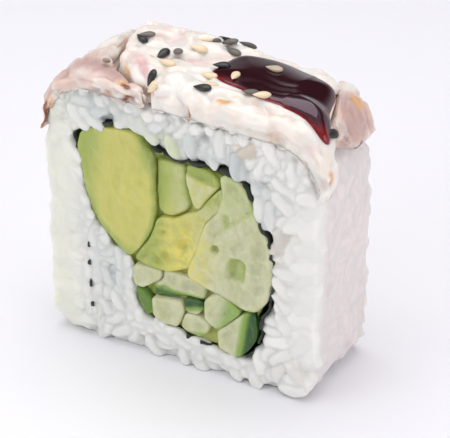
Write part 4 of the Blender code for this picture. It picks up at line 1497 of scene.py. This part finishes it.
# The sauce: its edge by place along the drape and along Y, and its depth along the drape
SAUCE_EDGE = [
    (34.2, -2.7), (35.0, 1.9), (36.2, 4.9), (38.4, 5.7), (42.0, 6.3), (44.6, 6.1), (49.8, 4.7), (52.0, 4.6),
    (53.4, 3.9), (53.8, 2.6), (54.3, -0.4), (54.8, -3.0), (55.8, -4.1), (56.6, -6.1), (57.4, -7.8),
    (56.9, -8.8), (55.6, -8.9), (54.4, -8.3), (52.6, -7.9), (50.8, -8.3), (49.4, -7.9), (47.8, -7.9),
    (44.8, -7.5), (41.4, -6.1), (39.2, -5.7), (37.0, -5.1),
]
SAUCE_DEPTH = [
    (33.0, 0.3), (36.0, 0.5), (41.5, 0.65), (47.0, 0.75), (52.0, 0.9), (54.5, 1.0), (56.6, 0.8), (58.0, 0.4),
]
SAUCE_RED = each(
    Spot, (38.4, -4.6, 3.6, 0.9, -20, 0.6), (56, -8, 1.5, 1.5, 0, 0.85), (46, -7.3, 5, 0.5, 0, 0.4),
)


@dataclass
class Sauce:
    """Thick sauce poured over the main slice.

    Args:
        beds: the slices that it lies on, the main one first.
        rim: how far its rounded edge reaches inwards.
        dome: how far its slope reaches inwards.
        spacing: the distance between its points.
    """

    beds: list[Slice]
    rim: float = 1.1
    dome: float = 5.5
    spacing: float = 0.3

    def __post_init__(self) -> None:
        """Works out the edge as a smooth closed line."""
        self.edge = softened(resampled(np.array(SAUCE_EDGE), self.spacing), 12)

    def reach(self, along: Array, y: Array) -> Array:
        """The distance inside the sauce's edge, below 0 outside it."""
        return within(self.edge, along.ravel(), y.ravel()).reshape(along.shape)

    def covered(self, along: Array, y: Array) -> Array:
        """1 where the sauce lies, falling to 0 a little way outside it."""
        return smoothstep(-1.1, 0.1, self.reach(along, y))

    def depth(self, along: Array, y: Array, reach: Array) -> Array:
        """The sauce's depth: a quarter ellipse at its edge on a parabolic dome, with a few slow folds."""
        edge = np.sqrt(1 - (1 - np.clip(reach / self.rim, 0, 1)) ** 2)
        dome = 1 - (1 - np.clip(reach / self.dome, 0, 1)) ** 2
        drop = Spot(53.8, -5.2, 1.8, 1.8, 0, 0.45).rise(along, y)
        fold = y + 0.9 * np.sin(0.55 * along) - 0.12 * (along - 45.0)
        folds = 0.09 * np.sin(1.7 * fold) * Spot(49.0, -4.6, 5.0, 2.6, 0, 1.0).rise(along, y)
        return edge * (0.45 * at(SAUCE_DEPTH, along) + drop + folds) + 1.1 * at(SAUCE_DEPTH, along) * dome

    def bed(self, along: Array, y: Array) -> Array:
        """The height of what the sauce lies on: the highest slice there."""
        return np.max([piece.lift(along, y) for piece in self.beds], axis=0)

    def build(self) -> Laid:
        """Makes the sauce and gives back its upper surface."""
        flat, triangles = cap([self.edge], self.spacing)
        along, y = flat.T
        count = len(self.edge)
        reach = np.maximum(self.reach(along, y), 0.0)
        reach[:count] = 0.0
        lift = self.bed(along, y)
        top = on_drape(along, y, lift + self.depth(along, y, reach))
        under = on_drape(along, y, np.maximum(lift - 0.5, 0.1))
        low, high = (np.array(c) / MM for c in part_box(self.beds[0].node))
        top = np.clip(top, low + CLEAR, high - CLEAR)
        thin = spotted(SAUCE_RED, along, y) + 0.9 * smoothstep(0.5, 0.0, reach)
        wall = bands(np.stack([np.arange(count), len(flat) + np.arange(count)]))
        faces = np.concatenate([triangles, triangles[:, ::-1] + len(flat)]).tolist() + wall.tolist()
        shell = Shell(np.concatenate([top, under]), faces, {"thin": np.tile(thin, 2)})
        dress("sauce", oriented(shell.mesh("sauce")), SauceFinish().paint())
        here = on_drape(along, y, lift)
        ahead = on_drape(along + 0.2, y, self.bed(along + 0.2, y)) - here
        side = on_drape(along, y + 0.2, self.bed(along, y + 0.2)) - here
        return Laid(along, y, top, unit(np.cross(ahead, side)))


@dataclass(frozen=True)
class Seed:
    """A sesame seed: where it lies, its turn and tilt in degrees, and its shade, 0 black to 1 cream."""

    s: float
    y: float
    turn: float
    shade: float
    tilt: float = 0.0
    lift: float = 0.0
    size: float = 1.0


# A seed's length, width and thickness
SEED_SIZE = (3.2, 2.0, 1.15)
SEEDS = each(
    Seed, (18.2, 1.8, -24, 0), (17.8, 3.4, 40, 0.45, 20), (24.6, -2.1, 79, 0),
    (26.3, -0.3, -51, 0.4, 35, 0.3), (26.8, -9, 86, 0), (36.6, -9.3, 4, 0), (29.6, 9.4, -10, 0.42),
    (30.1, 6.7, -55, 0.4, 40, 0.5), (31, 9.2, 60, 0.05, 15, 0.4), (32, 7.6, 20, 0.4, 15, 0.1),
    (33.8, 5.8, -11, 0.4), (34.6, 9.2, 29, 0.3), (35.2, -1, 29, 0), (43.8, -7.6, 27, 0.35),
    (56.9, -5.6, 80, 0.02), (16.4, -7.4, -52, 0.7, 25, 0, 0.8), (34.7, -4.4, 7, 1), (36.6, -7.1, 10, 1),
    (39.3, -3.8, 100, 0.97, 0, 0, 0.9), (43.7, 1.4, 5, 0.75), (46.1, -7.4, 39, 1, 0, 0, 1.05),
    (28.5, -11.1, 35, 1), (27.4, -5.1, -2, 1), (29.4, 1.9, 15, 1), (28.7, 5.2, 30, 1, 0, 0, 0.85),
)


@dataclass
class Topping:
    """The fish slices, the sauce on them and the sesame seeds."""

    def slices(self) -> list[Slice]:
        """The three slices, the main one second, with a narrow seam between them."""
        left = Slice(
            "fish_left", "fish_slice_left", "fish_skin", 1.2, 27.0,
            [(1.2, FISH_FRONT)],
            [(1.2, 10.2), (3.5, 11.4), (10.8, 11.6)] + [(s - 0.25, y - 0.2) for s, y in SEAM],
            [(0.0, 0.42), (6.0, 0.5), (13.0, 0.68), (27.0, 0.55)], LEFT_FLAKES, LEFT_SPOTS,
        )
        main = Slice(
            "fish_main", "fish_slice_main", "fish", 13.7, RIGHT_END,
            [(s + 0.25, y + 0.2) for s, y in SEAM] + [(28.8, FISH_FRONT)],
            [(11.0, 11.9), (30.0, 11.2), (46.0, 10.9), (51.0, 10.2), (52.4, 8.4), (54.0, 4.2), (55.0, 1.0),
             (55.8, -1.8), (57.4, -4.4), (58.8, -7.2), (RIGHT_END, -9.2)],
            [(13.0, 0.95), (20.0, 1.0), (50.0, 1.0), (56.0, 0.72), (RIGHT_END, 0.45)],
            MAIN_FLAKES, MAIN_SPOTS,
        )
        end = Slice(
            "fish_end", "fish_slice_end", "fish_skin", 50.8, 61.0,
            [(52.0, 8.4), (53.5, 3.8), (54.5, 0.6), (55.3, -2.2), (56.2, -4.6), (57.4, -4.6), (58.6, -2.2),
             (59.8, 0.6), (61.0, 2.8)],
            [(52.0, 10.7), (54.0, 10.4), (61.0, 8.8)],
            [(52.0, 0.7), (54.0, 0.8), (56.0, 0.7), (58.0, 0.5), (61.0, 0.4)], END_FLAKES, END_SPOTS, 3.2,
        )
        return [left, main, end]

    def sprinkle(self, surfaces: list[Laid]) -> bpy.types.Object:
        """Makes the seeds: flat pods with a pointed end, each on the topmost surface and along its slope."""
        seats = []
        for seed in SEEDS:
            near = [surface.seat(seed.s, seed.y) for surface in surfaces]
            over = [(place[2], place, normal) for off, place, normal in near if off < 0.6]
            seats.append(max(over, key=lambda seat: seat[0])[1:])
        here, normal = (np.array([seat[k] for seat in seats]) for k in (0, 1))
        ahead = np.array([1.0, 0.0, 0.0])
        ahead = unit(ahead - (ahead * normal).sum(1, keepdims=True) * normal)
        side = np.cross(normal, ahead)
        turn, tilt = (np.radians([[getattr(seed, name)] for seed in SEEDS]) for name in ("turn", "tilt"))
        extra, size = (np.array([[getattr(seed, name)] for seed in SEEDS]) for name in ("lift", "size"))
        level = ahead * np.cos(turn) + side * np.sin(turn)
        long = level * np.cos(tilt) + normal * np.sin(tilt)
        wide = np.cross(normal, level)
        frames = np.stack([long, wide, np.cross(long, wide)], -1)
        lift = 0.3 + extra * 0.35 + 1.3 * np.sin(tilt)
        rng = np.random.default_rng(3)
        sizes = size * np.array(SEED_SIZE) * rng.uniform(0.93, 1.05, (len(SEEDS), 3))
        shade = np.array([seed.shade for seed in SEEDS])
        shell = Shell.repeated(pod(11, 14, 0.75), frames, here + normal * lift, sizes, {"shade": shade})
        heights = shell.vertices[:, 2].reshape(len(SEEDS), -1)
        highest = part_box("fish_slice_main")[1][2] / MM - 0.02
        heights -= np.maximum(heights.max(1, keepdims=True) - highest, 0)
        shell.vertices[:, 2] = heights.ravel()
        return dress("sesame", oriented(shell.mesh("sesame")), SeedFinish().paint())

    def build(self) -> None:
        """Makes the slices, then the sauce and the seeds on them."""
        flesh = FishFinish("fish_flesh").paint()
        rosy = FishFinish("fish_rosy", cream=(0.74, 0.57, 0.48), pink=(0.56, 0.37, 0.33)).paint()
        slices = self.slices()
        sauce = Sauce(slices[1:])
        pairs = zip(slices, (rosy, flesh, rosy))
        surfaces = [piece.build(finish, sauce.covered) for piece, finish in pairs]
        self.sprinkle([*surfaces, sauce.build()])


# Rice

# The plane that the right face is pressed towards
RIGHT_FACE = 26.1

# The way that a grain on a cut points before it is turned
AHEAD = np.array([[1.0, 0.0, 0.0]])

# How the cut's grains are tinted, by spots. The cool spots are painted shade: under the fish along the top,
# by the nori, and along the bottom.
RICE_TINTS = {
    "cool": each(
        Spot, (-15, 46.5, 6, 2.6, -5, 1), (0, 43.6, 8, 2.6, -10, 0.8), (12, 41.5, 6, 2.4, -30, 0.8),
        (17.5, 34, 5, 1.8, -65, 0.8), (-14, 14, 8, 3.2, 80, 1), (-17.5, 25, 5, 2, 90, 0.7),
        (-2, 3, 14, 2.5, 0, 0.4),
    ),
    "green": each(
        Spot, (-6.5, 43, 4, 1.6, -15, 1), (-16, 4, 3, 1.5, 0, 0.35), (-1, 41.8, 2.6, 1, -20, 0.8),
    ),
    "tan": each(
        Spot, (19.8, 31, 1, 2.4, 0, 0.55), (18.6, 27, 2, 6, 0, 0.25), (20.5, 5, 3, 1, 30, 0.3),
        (12.3, 45, 0.7, 1.8, 20, 0.8),
    ),
}


def fused(shell: Shell, voxel: float) -> bpy.types.Mesh:
    """The overlapping closed shells made one skin of small squares of that size in millimetres."""
    mesh = shell.mesh("fused")
    body = put("fused", mesh)
    remesh = body.modifiers.new("Remesh", "REMESH")
    remesh.mode = "VOXEL"
    remesh.voxel_size = voxel * MM
    graph = bpy.context.evaluated_depsgraph_get()
    skin = bpy.data.meshes.new_from_object(body.evaluated_get(graph))
    bpy.data.objects.remove(body)
    bpy.data.meshes.remove(mesh)
    return skin


def places_of(mesh: bpy.types.Mesh) -> Array:
    """The mesh's points, (n, 3), in millimetres."""
    flat = np.empty(len(mesh.vertices) * 3, np.float32)
    mesh.vertices.foreach_get("co", flat)
    return flat.reshape(-1, 3).astype(float) / MM


def relaxed(mesh: bpy.types.Mesh, points: Array, weight: Array, passes: int) -> Array:
    """The mesh's points moved towards the mean of their neighbours, by their weight, many times over."""
    pairs = np.empty(len(mesh.edges) * 2, np.int32)
    mesh.edges.foreach_get("vertices", pairs)
    a, b = pairs.reshape(-1, 2).T
    start, end = np.concatenate([a, b]), np.concatenate([b, a])
    count = np.bincount(start, minlength=len(points))[:, None]
    for _ in range(passes):
        total = np.stack([np.bincount(start, points[end, k], len(points)) for k in range(3)], -1)
        points = points + weight[:, None] * (total / count - points)
    return points


@dataclass
class Rice:
    """The rice: grains pressed into a core round the nori, melted together more in some places.

    Args:
        finish: its finish.
        length: a grain's length.
        width: a grain's width.
        tries: how many places are tried for each layer of grains.
        voxel: how fine the fused skin is.
        sunk: how far the core's cuts lie behind the grains' ones.
        groove: how deep the creases between grains are.
        press: how far the right face is pressed flat, of all the way.
        seed: for every random draw.
        lines: the two ends of each grain's middle line, filled in as grains are made.
    """

    finish: RiceFinish = RiceFinish()
    length: float = 6.2
    width: float = 3.0
    tries: int = 6000
    voxel: float = 0.42
    sunk: float = 1.7
    groove: float = 0.2
    press: float = 0.5
    seed: int = 8
    lines: list[Array] = field(default_factory=list)

    def scatter(self, width: float, height: float, allowed: Callable[[Array], Array], seed: int,
                reach: float) -> tuple[Array, Array]:
        """Places grains on a flat patch so that none lies on another.

        Candidates are drawn at random. One is kept if no kept one lies within an ellipse of its own
        length and width, times reach, about it.

        Args:
            width: the patch's size one way.
            height: its size the other way.
            allowed: says which places may hold a grain.
            seed: for the random draw.
            reach: how much room a grain takes.

        Returns:
            The places, (grains, 2), and the turns in radians.
        """
        rng = np.random.default_rng(seed)
        places = rng.uniform(0, 1, (self.tries, 2)) * (width, height)
        flat = np.stack([places[:, 0], places[:, 1], np.full(len(places), seed * 7.0)], -1)
        turns = 1.9 * ripple(flat, 22.0, seed) + rng.uniform(-0.9, 0.9, len(places))
        keep = allowed(places)
        places, turns = places[keep], turns[keep]
        kept: list[int] = []
        for i in range(len(places)):
            away = places[kept] - places[i]
            c, n = math.cos(turns[i]), math.sin(turns[i])
            a = (away[:, 0] * c + away[:, 1] * n) / (self.length * reach)
            b = (-away[:, 0] * n + away[:, 1] * c) / (self.width * reach)
            if not (a * a + b * b < 1).any():
                kept.append(i)
        return places[kept], turns[kept]

    def grains(self, places: Array, ahead: Array, normal: Array, turns: Array,
               rng: np.random.Generator) -> Shell:
        """Bent pods at the places, lying along the surface with a slight tilt.

        Args:
            places: (grains, 3).
            ahead: a direction in the surface at each, (grains, 3).
            normal: the surface's normal at each, (grains, 3).
            turns: each grain's turn from ahead, in radians.
            rng: the random draw.

        Returns:
            The grains as one shell.
        """
        count = len(places)
        side = np.cross(normal, ahead)
        level = ahead * np.cos(turns)[:, None] + side * np.sin(turns)[:, None]
        tilt = rng.normal(0, 0.16, count)[:, None]
        long = level * np.cos(tilt) + normal * np.sin(tilt)
        roll = rng.uniform(-0.9, 0.9, count)[:, None]
        across = np.cross(normal, level)
        thick = np.cross(long, across)
        wide = across * np.cos(roll) + thick * np.sin(roll)
        frames = np.stack([long, wide, np.cross(long, wide)], -1)
        half = long * 0.27 * self.length
        self.lines.append(np.stack([places - half, places + half], 1))
        template = pod(7, 10, 0.12)
        sizes = np.array([self.length, self.width, self.width * 0.86]) * rng.normal(1.0, 0.07, (count, 3))
        bend = rng.uniform(-0.5, 0.9, count)[:, None] * self.width
        shifts = np.zeros((count, len(template.vertices), 3))
        shifts[..., 1] = bend * (template.vertices[None, :, 0] ** 2 - 0.1) * 0.9
        return Shell.repeated(template, frames, places, sizes, {}, shifts)

    def inner_loop(self) -> Array:
        """The outline round the nori and filling: the nori's own outside, and the filling's left side."""
        middle, sides = nori_lines()
        outer, inner = sorted(sides, key=lambda side: distance_to(rice_outline(0), side).mean())
        if middle[0, 1] < middle[-1, 1]:
            outer, inner, middle = outer[::-1], inner[::-1], middle[::-1]
        up = inner[::-1]
        level = int(np.argmax(up[:, 1] > middle[0, 1] + 3.4))
        return np.concatenate([outer, up[:level]])

    def core(self, outline: Array, hole: Array) -> Shell:
        """The core: a cap on each cut, and walls round its outside and its hole."""
        points, triangles = cap([outline, hole], 1.5)
        front = stood(points, FRONT_CUT + self.sunk)
        back = stood(settle(points, 1.0), back_cut(points[:, 0]) - self.sunk)
        return Shell.through([front, back], triangles, [len(outline), len(hole)])

    def cut_layer(self, outline: Array, hole: Array, layer: Layer, reach: float,
                  rng: np.random.Generator) -> list[Shell]:
        """The grains on the two cuts.

        Args:
            outline: the rice's outline.
            hole: the outline of the hole on the front cut.
            layer: which grains.
            reach: how much room a grain takes.
            rng: the random draw.

        Returns:
            A shell for each cut.
        """
        shells = []
        for share, outwards in ((0.0, -1.0), (1.0, 1.0)):
            turned = settle(hole, share)

            def allowed(places: Array, turned: Array = turned) -> Array:
                flat = places - (ROLL_WIDTH / 2, 0)
                clear = distance_to(turned, flat) > self.width * 0.42
                top = RICE_TOP + 1.6 * smoothstep(0, -20, flat[:, 0]) - 1.4
                low = (flat[:, 1] > 1.5) & (flat[:, 1] < top)
                return inside(outline, flat) & ~inside(turned, flat) & clear & low

            seed = self.seed + (11 if layer is Layer.LOOSE else 0) + int(3 * share)
            spots, turns = self.scatter(ROLL_WIDTH, RICE_TOP_LEFT, allowed, seed, reach)
            flat = spots - (ROLL_WIDTH / 2, 0)
            plane = np.where(share < 0.5, FRONT_CUT + self.sunk, back_cut(flat[:, 0]) - self.sunk)
            out = 0.3 if layer is Layer.SUNK else 0.85
            y = plane + outwards * (out + rng.uniform(-0.3, 0.3, len(flat)))
            shells.append(self.grains(stood(flat, y), AHEAD, np.array([[0, outwards, 0]]), turns, rng))
        return shells

    def side_layer(self, layer: Layer, reach: float, rng: np.random.Generator) -> list[Shell]:
        """The grains round the sides, laid on the outline from cut to cut."""
        outline = resampled(rice_outline(COVER + 0.3), 0.5)
        run = np.arange(len(outline)) * 0.5
        depth = 20.5

        def allowed(places: Array) -> Array:
            return np.interp(places[:, 0], run, outline[:, 1]) > 1.3

        seed = self.seed + (21 if layer is Layer.LOOSE else 5)
        spots, turns = self.scatter(run[-1], depth, allowed, seed, reach)
        x, z = spread(outline, run, spots[:, 0]).T
        along = np.gradient(outline, axis=0)
        dx, dz = spread(along, run, spots[:, 0]).T
        length = np.hypot(dx, dz)
        normal = np.stack([dz / length, 0 * x, -dx / length], -1)
        ahead = np.stack([dx / length, 0 * x, dz / length], -1)
        out = np.where(z > 38.0, -0.9, -0.1 if layer is Layer.SUNK else 0.25)
        y = FRONT_CUT + 1.6 + spots[:, 1] * (back_cut(x) - FRONT_CUT - 3.2) / depth
        places = np.stack([x, y, z], -1) + normal * (out + rng.uniform(-0.3, 0.15, len(x)))[:, None]
        return [self.grains(places, ahead, normal, turns, rng)]

    def nearest(self, points: Array) -> tuple[Array, Array]:
        """Which grain each point belongs to, and how much nearer it is than the next one.

        A point's distance to a grain is that to its middle line.
        """
        lines = np.concatenate(self.lines).astype(np.float32)
        start, way = lines[:, 0], lines[:, 1] - lines[:, 0]
        square = (way**2).sum(1)
        owner, lead = np.empty(len(points), int), np.empty(len(points))
        for first in range(0, len(points), BATCH):
            batch = slice(first, first + BATCH)
            part = points[batch, None].astype(np.float32) - start
            share = np.clip((part * way).sum(-1) / square, 0, 1)
            away = np.sqrt(((part - share[..., None] * way) ** 2).sum(-1))
            two = np.argpartition(away, 1, axis=1)[:, :2]
            near = np.take_along_axis(away, two, 1)
            owner[batch] = two[np.arange(len(two)), near.argmin(1)]
            lead[batch] = np.abs(near[:, 0] - near[:, 1])
        return owner, lead

    def rim_layer(self, hole: Array, rng: np.random.Generator) -> Shell:
        """The grains that lean over the nori's edge on the front cut, except where the nori shows."""
        line = resampled(hole, 2.1)
        outwards = sideways(line)
        outwards *= np.sign(((line - line.mean(0)) * outwards).sum(1).sum())
        kept = np.min([np.hypot(*(line - place).T) / size for place, size in NORI_SHOWS], axis=0) > 1
        line, outwards = line[kept], outwards[kept]
        line = line + outwards * rng.uniform(0.4, 1.0, (len(line), 1))
        places = stood(line, FRONT_CUT + 0.9 + rng.uniform(-0.25, 0.25, len(line)))
        turns = np.arctan2(outwards[:, 1], outwards[:, 0]) + math.pi / 2 + rng.normal(0, 0.4, len(line))
        return self.grains(places, AHEAD, np.array([[0, -1.0, 0]]), turns, rng)

    def melt(self, points: Array) -> Array:
        """How far the grains have melted together there: most down the left and the front right."""
        x, y, z = points.T
        front = smoothstep(-7.0, -10.0, y)
        left = smoothstep(-19.5, -22.0, x) * smoothstep(46.0, 38.0, z)
        right = smoothstep(19.5, 22.5, x) * front * smoothstep(6.0, 12.0, z) * smoothstep(42.0, 34.0, z)
        side = smoothstep(23.0, 25.0, x) * 0.5
        return 0.02 + 0.8 * np.clip(left + 0.8 * right + side, 0, 1)

    def build(self) -> bpy.types.Object:
        """Makes the rice: the core and grains are fused, melted, flattened by the knife and tinted."""
        rng = np.random.default_rng(self.seed)
        outline = softened(resampled(rice_outline(COVER + 0.3), 0.9), 1)
        hole = softened(resampled(self.inner_loop(), 0.8), 1)
        shells = [self.core(outline, hole)]
        for layer, reach in ((Layer.SUNK, 0.56), (Layer.LOOSE, 0.77)):
            shells += self.cut_layer(outline, hole, layer, reach, rng)
            shells += self.side_layer(layer, reach, rng)
        shells.append(self.rim_layer(hole, rng))
        mesh = fused(Shell.joined(shells), self.voxel)
        points = places_of(mesh)
        owner, lead = self.nearest(points)
        melt = self.melt(points)
        # crease marks where grains meet: the surface sinks there, and the finish paints grey shade on it.
        crease = smoothstep(0.55, 0.0, lead) * (1 - melt)
        points = relaxed(mesh, points, 0.5 * melt, 40)
        upright = smoothstep(1.5, 11.0, points[:, 2]) * smoothstep(44.0, 38.0, points[:, 2])
        pressed = points[:, 0] - RIGHT_FACE
        points[:, 0] -= self.press * upright * smoothstep(-2.4, -1.2, pressed) * pressed
        past = np.maximum(FRONT_CUT + 0.35 - points[:, 1], 0)
        points[:, 1] += past - 0.6 * np.tanh(past / 0.8)
        low, high = (np.array(c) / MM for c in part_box("rice"))
        mesh.vertices.foreach_set("co", (points * MM).ravel())
        mesh.update()
        normals = np.empty(len(points) * 3, np.float32)
        mesh.vertex_normals.foreach_get("vector", normals)
        points = points - self.groove * crease[:, None] * normals.reshape(-1, 3)
        points = np.clip(points, low + 0.02, high - 0.02)
        mesh.vertices.foreach_set("co", (points * MM).ravel())
        front = smoothstep(-7.0, -10.0, points[:, 1])
        middles = np.concatenate(self.lines).mean(1)[owner]
        luck = rng.uniform(0, 1, len(owner))[owner]
        marks = {"crease": crease, "tone": luck}
        # The tints show on the front cut only; the cool one there is painted shade.
        for name, spots in RICE_TINTS.items():
            marks[name] = spotted(spots, middles[:, 0], middles[:, 2]) * front * (0.3 + luck)
        carry(mesh, marks)
        return dress("rice_grains", mesh, self.finish.paint(), ("rice",))


# Stage

@dataclass
class Studio:
    """The floor, the soft lights and the camera, which stands at an angle and distance from its target."""

    azimuth: float = 28.8
    elevation: float = 29.6
    distance: float = 312.0
    target: tuple[float, float, float] = (1.86, 1.7, 23.608)
    lens: float = 141.92
    side: float = 1500.0
    cool: Colour = (0.905, 0.90, 0.935)
    pale: Colour = (0.91, 0.91, 0.94)

    def floor(self) -> bpy.types.Object:
        """A plain pale floor."""
        mesh = bpy.data.meshes.new("floor")
        far = self.side * MM
        places = [(-far, -far, 0), (far, -far, 0), (far, far, 0), (-far, far, 0)]
        mesh.from_pydata(places, [], [(0, 1, 2, 3)])
        floor = put("floor", mesh)
        p = Paint("floor")
        tint = p.mix(p.noise(60.0, 1.0), self.cool, self.pale)
        mesh.materials.append(p.done(Base_Color=tint, Roughness=0.55, Specular_IOR_Level=0.25))
        return floor

    def lamp(self, name: str, place: tuple[float, float, float], size: tuple[float, float], watts: float,
             colour: Colour) -> bpy.types.Object:
        """A soft rectangular light at a place in millimetres, facing the roll."""
        data = bpy.data.lights.new(name, "AREA")
        data.shape = "RECTANGLE"
        data.size, data.size_y = size[0] * MM, size[1] * MM
        data.energy = watts
        data.color = colour
        lamp = put(name, data)
        lamp.location = Vector(place) * MM
        lamp.rotation_euler = (Vector((0, 0, 25)) - Vector(place)).to_track_quat("-Z", "Y").to_euler()
        return lamp

    def sky(self) -> None:
        """A dim studio round the roll: bright low down and overhead, darker between, most so behind."""
        world = bpy.data.worlds.new("studio")
        world.use_nodes = True
        bpy.context.scene.world = world
        tree = world.node_tree
        glow = tree.nodes["Background"]
        where = tree.nodes.new("ShaderNodeTexCoord")
        split = tree.nodes.new("ShaderNodeSeparateXYZ")
        tree.links.new(where.outputs["Generated"], split.inputs[0])
        mixer = tree.nodes.new("ShaderNodeMix")
        mixer.data_type = "RGBA"
        around = [(0.0, 0.95), (0.22, 0.95), (0.36, 0.34), (0.62, 0.34), (0.80, 1.0)]
        behind = [(0.0, 0.95), (0.14, 0.95), (0.44, 0.08), (0.56, 0.08), (0.84, 1.0)]
        for socket, stops in ((6, around), (7, behind)):
            ramp = tree.nodes.new("ShaderNodeValToRGB")
            while len(ramp.color_ramp.elements) < len(stops):
                ramp.color_ramp.elements.new(0.5)
            for element, (place, level) in zip(ramp.color_ramp.elements, stops):
                element.position = place
                element.color = (level, level * 0.985, level * 1.02, 1)
            tree.links.new(split.outputs["Z"], ramp.inputs["Fac"])
            tree.links.new(ramp.outputs["Color"], mixer.inputs[socket])
        share = tree.nodes.new("ShaderNodeMapRange")
        share.interpolation_type = "SMOOTHSTEP"
        share.inputs["From Min"].default_value = 0.1
        share.inputs["From Max"].default_value = 0.5
        tree.links.new(split.outputs["Y"], share.inputs["Value"])
        tree.links.new(share.outputs[0], mixer.inputs[0])
        tree.links.new(mixer.outputs[2], glow.inputs["Color"])
        glow.inputs["Strength"].default_value = 0.85

    def camera(self) -> bpy.types.Object:
        """The camera, at the photographed angle."""
        a, e = math.radians(self.azimuth), math.radians(self.elevation)
        back = Vector((math.sin(a) * math.cos(e), -math.cos(a) * math.cos(e), math.sin(e)))
        data = bpy.data.cameras.new("camera")
        data.lens = self.lens
        data.sensor_width = 36.0
        data.clip_start = 0.01
        camera = put("camera", data)
        camera.location = (Vector(self.target) + back * self.distance) * MM
        camera.rotation_euler = (-back).to_track_quat("-Z", "Y").to_euler()
        bpy.context.scene.camera = camera
        return camera

    def build(self) -> None:
        """Sets the stage."""
        self.floor()
        self.sky()
        self.lamp("overhead", (-50, 60, 430), (420, 320), 0.93, (1.0, 0.99, 1.0))
        self.lamp("front", (-230, -350, 170), (260, 260), 0.46, (1.0, 1.0, 1.0))
        self.lamp("right", (380, -60, 150), (240, 240), 0.34, (1.0, 0.97, 1.0))
        self.camera()
        bpy.context.scene.view_settings.view_transform = "Standard"


def corners(box: tuple[Vector, Vector]) -> list[list[float]]:
    """A box as plain lists of numbers."""
    return [list(map(float, corner)) for corner in box]


def main() -> None:
    """Builds the roll and its stage."""
    logging.basicConfig(level=logging.INFO, format="%(message)s")
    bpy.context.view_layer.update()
    Rice().build()
    Nori().build()
    Filling().build()
    Topping().build()
    Studio().build()
    bpy.context.view_layer.update()


if __name__ == "__main__":
    main()
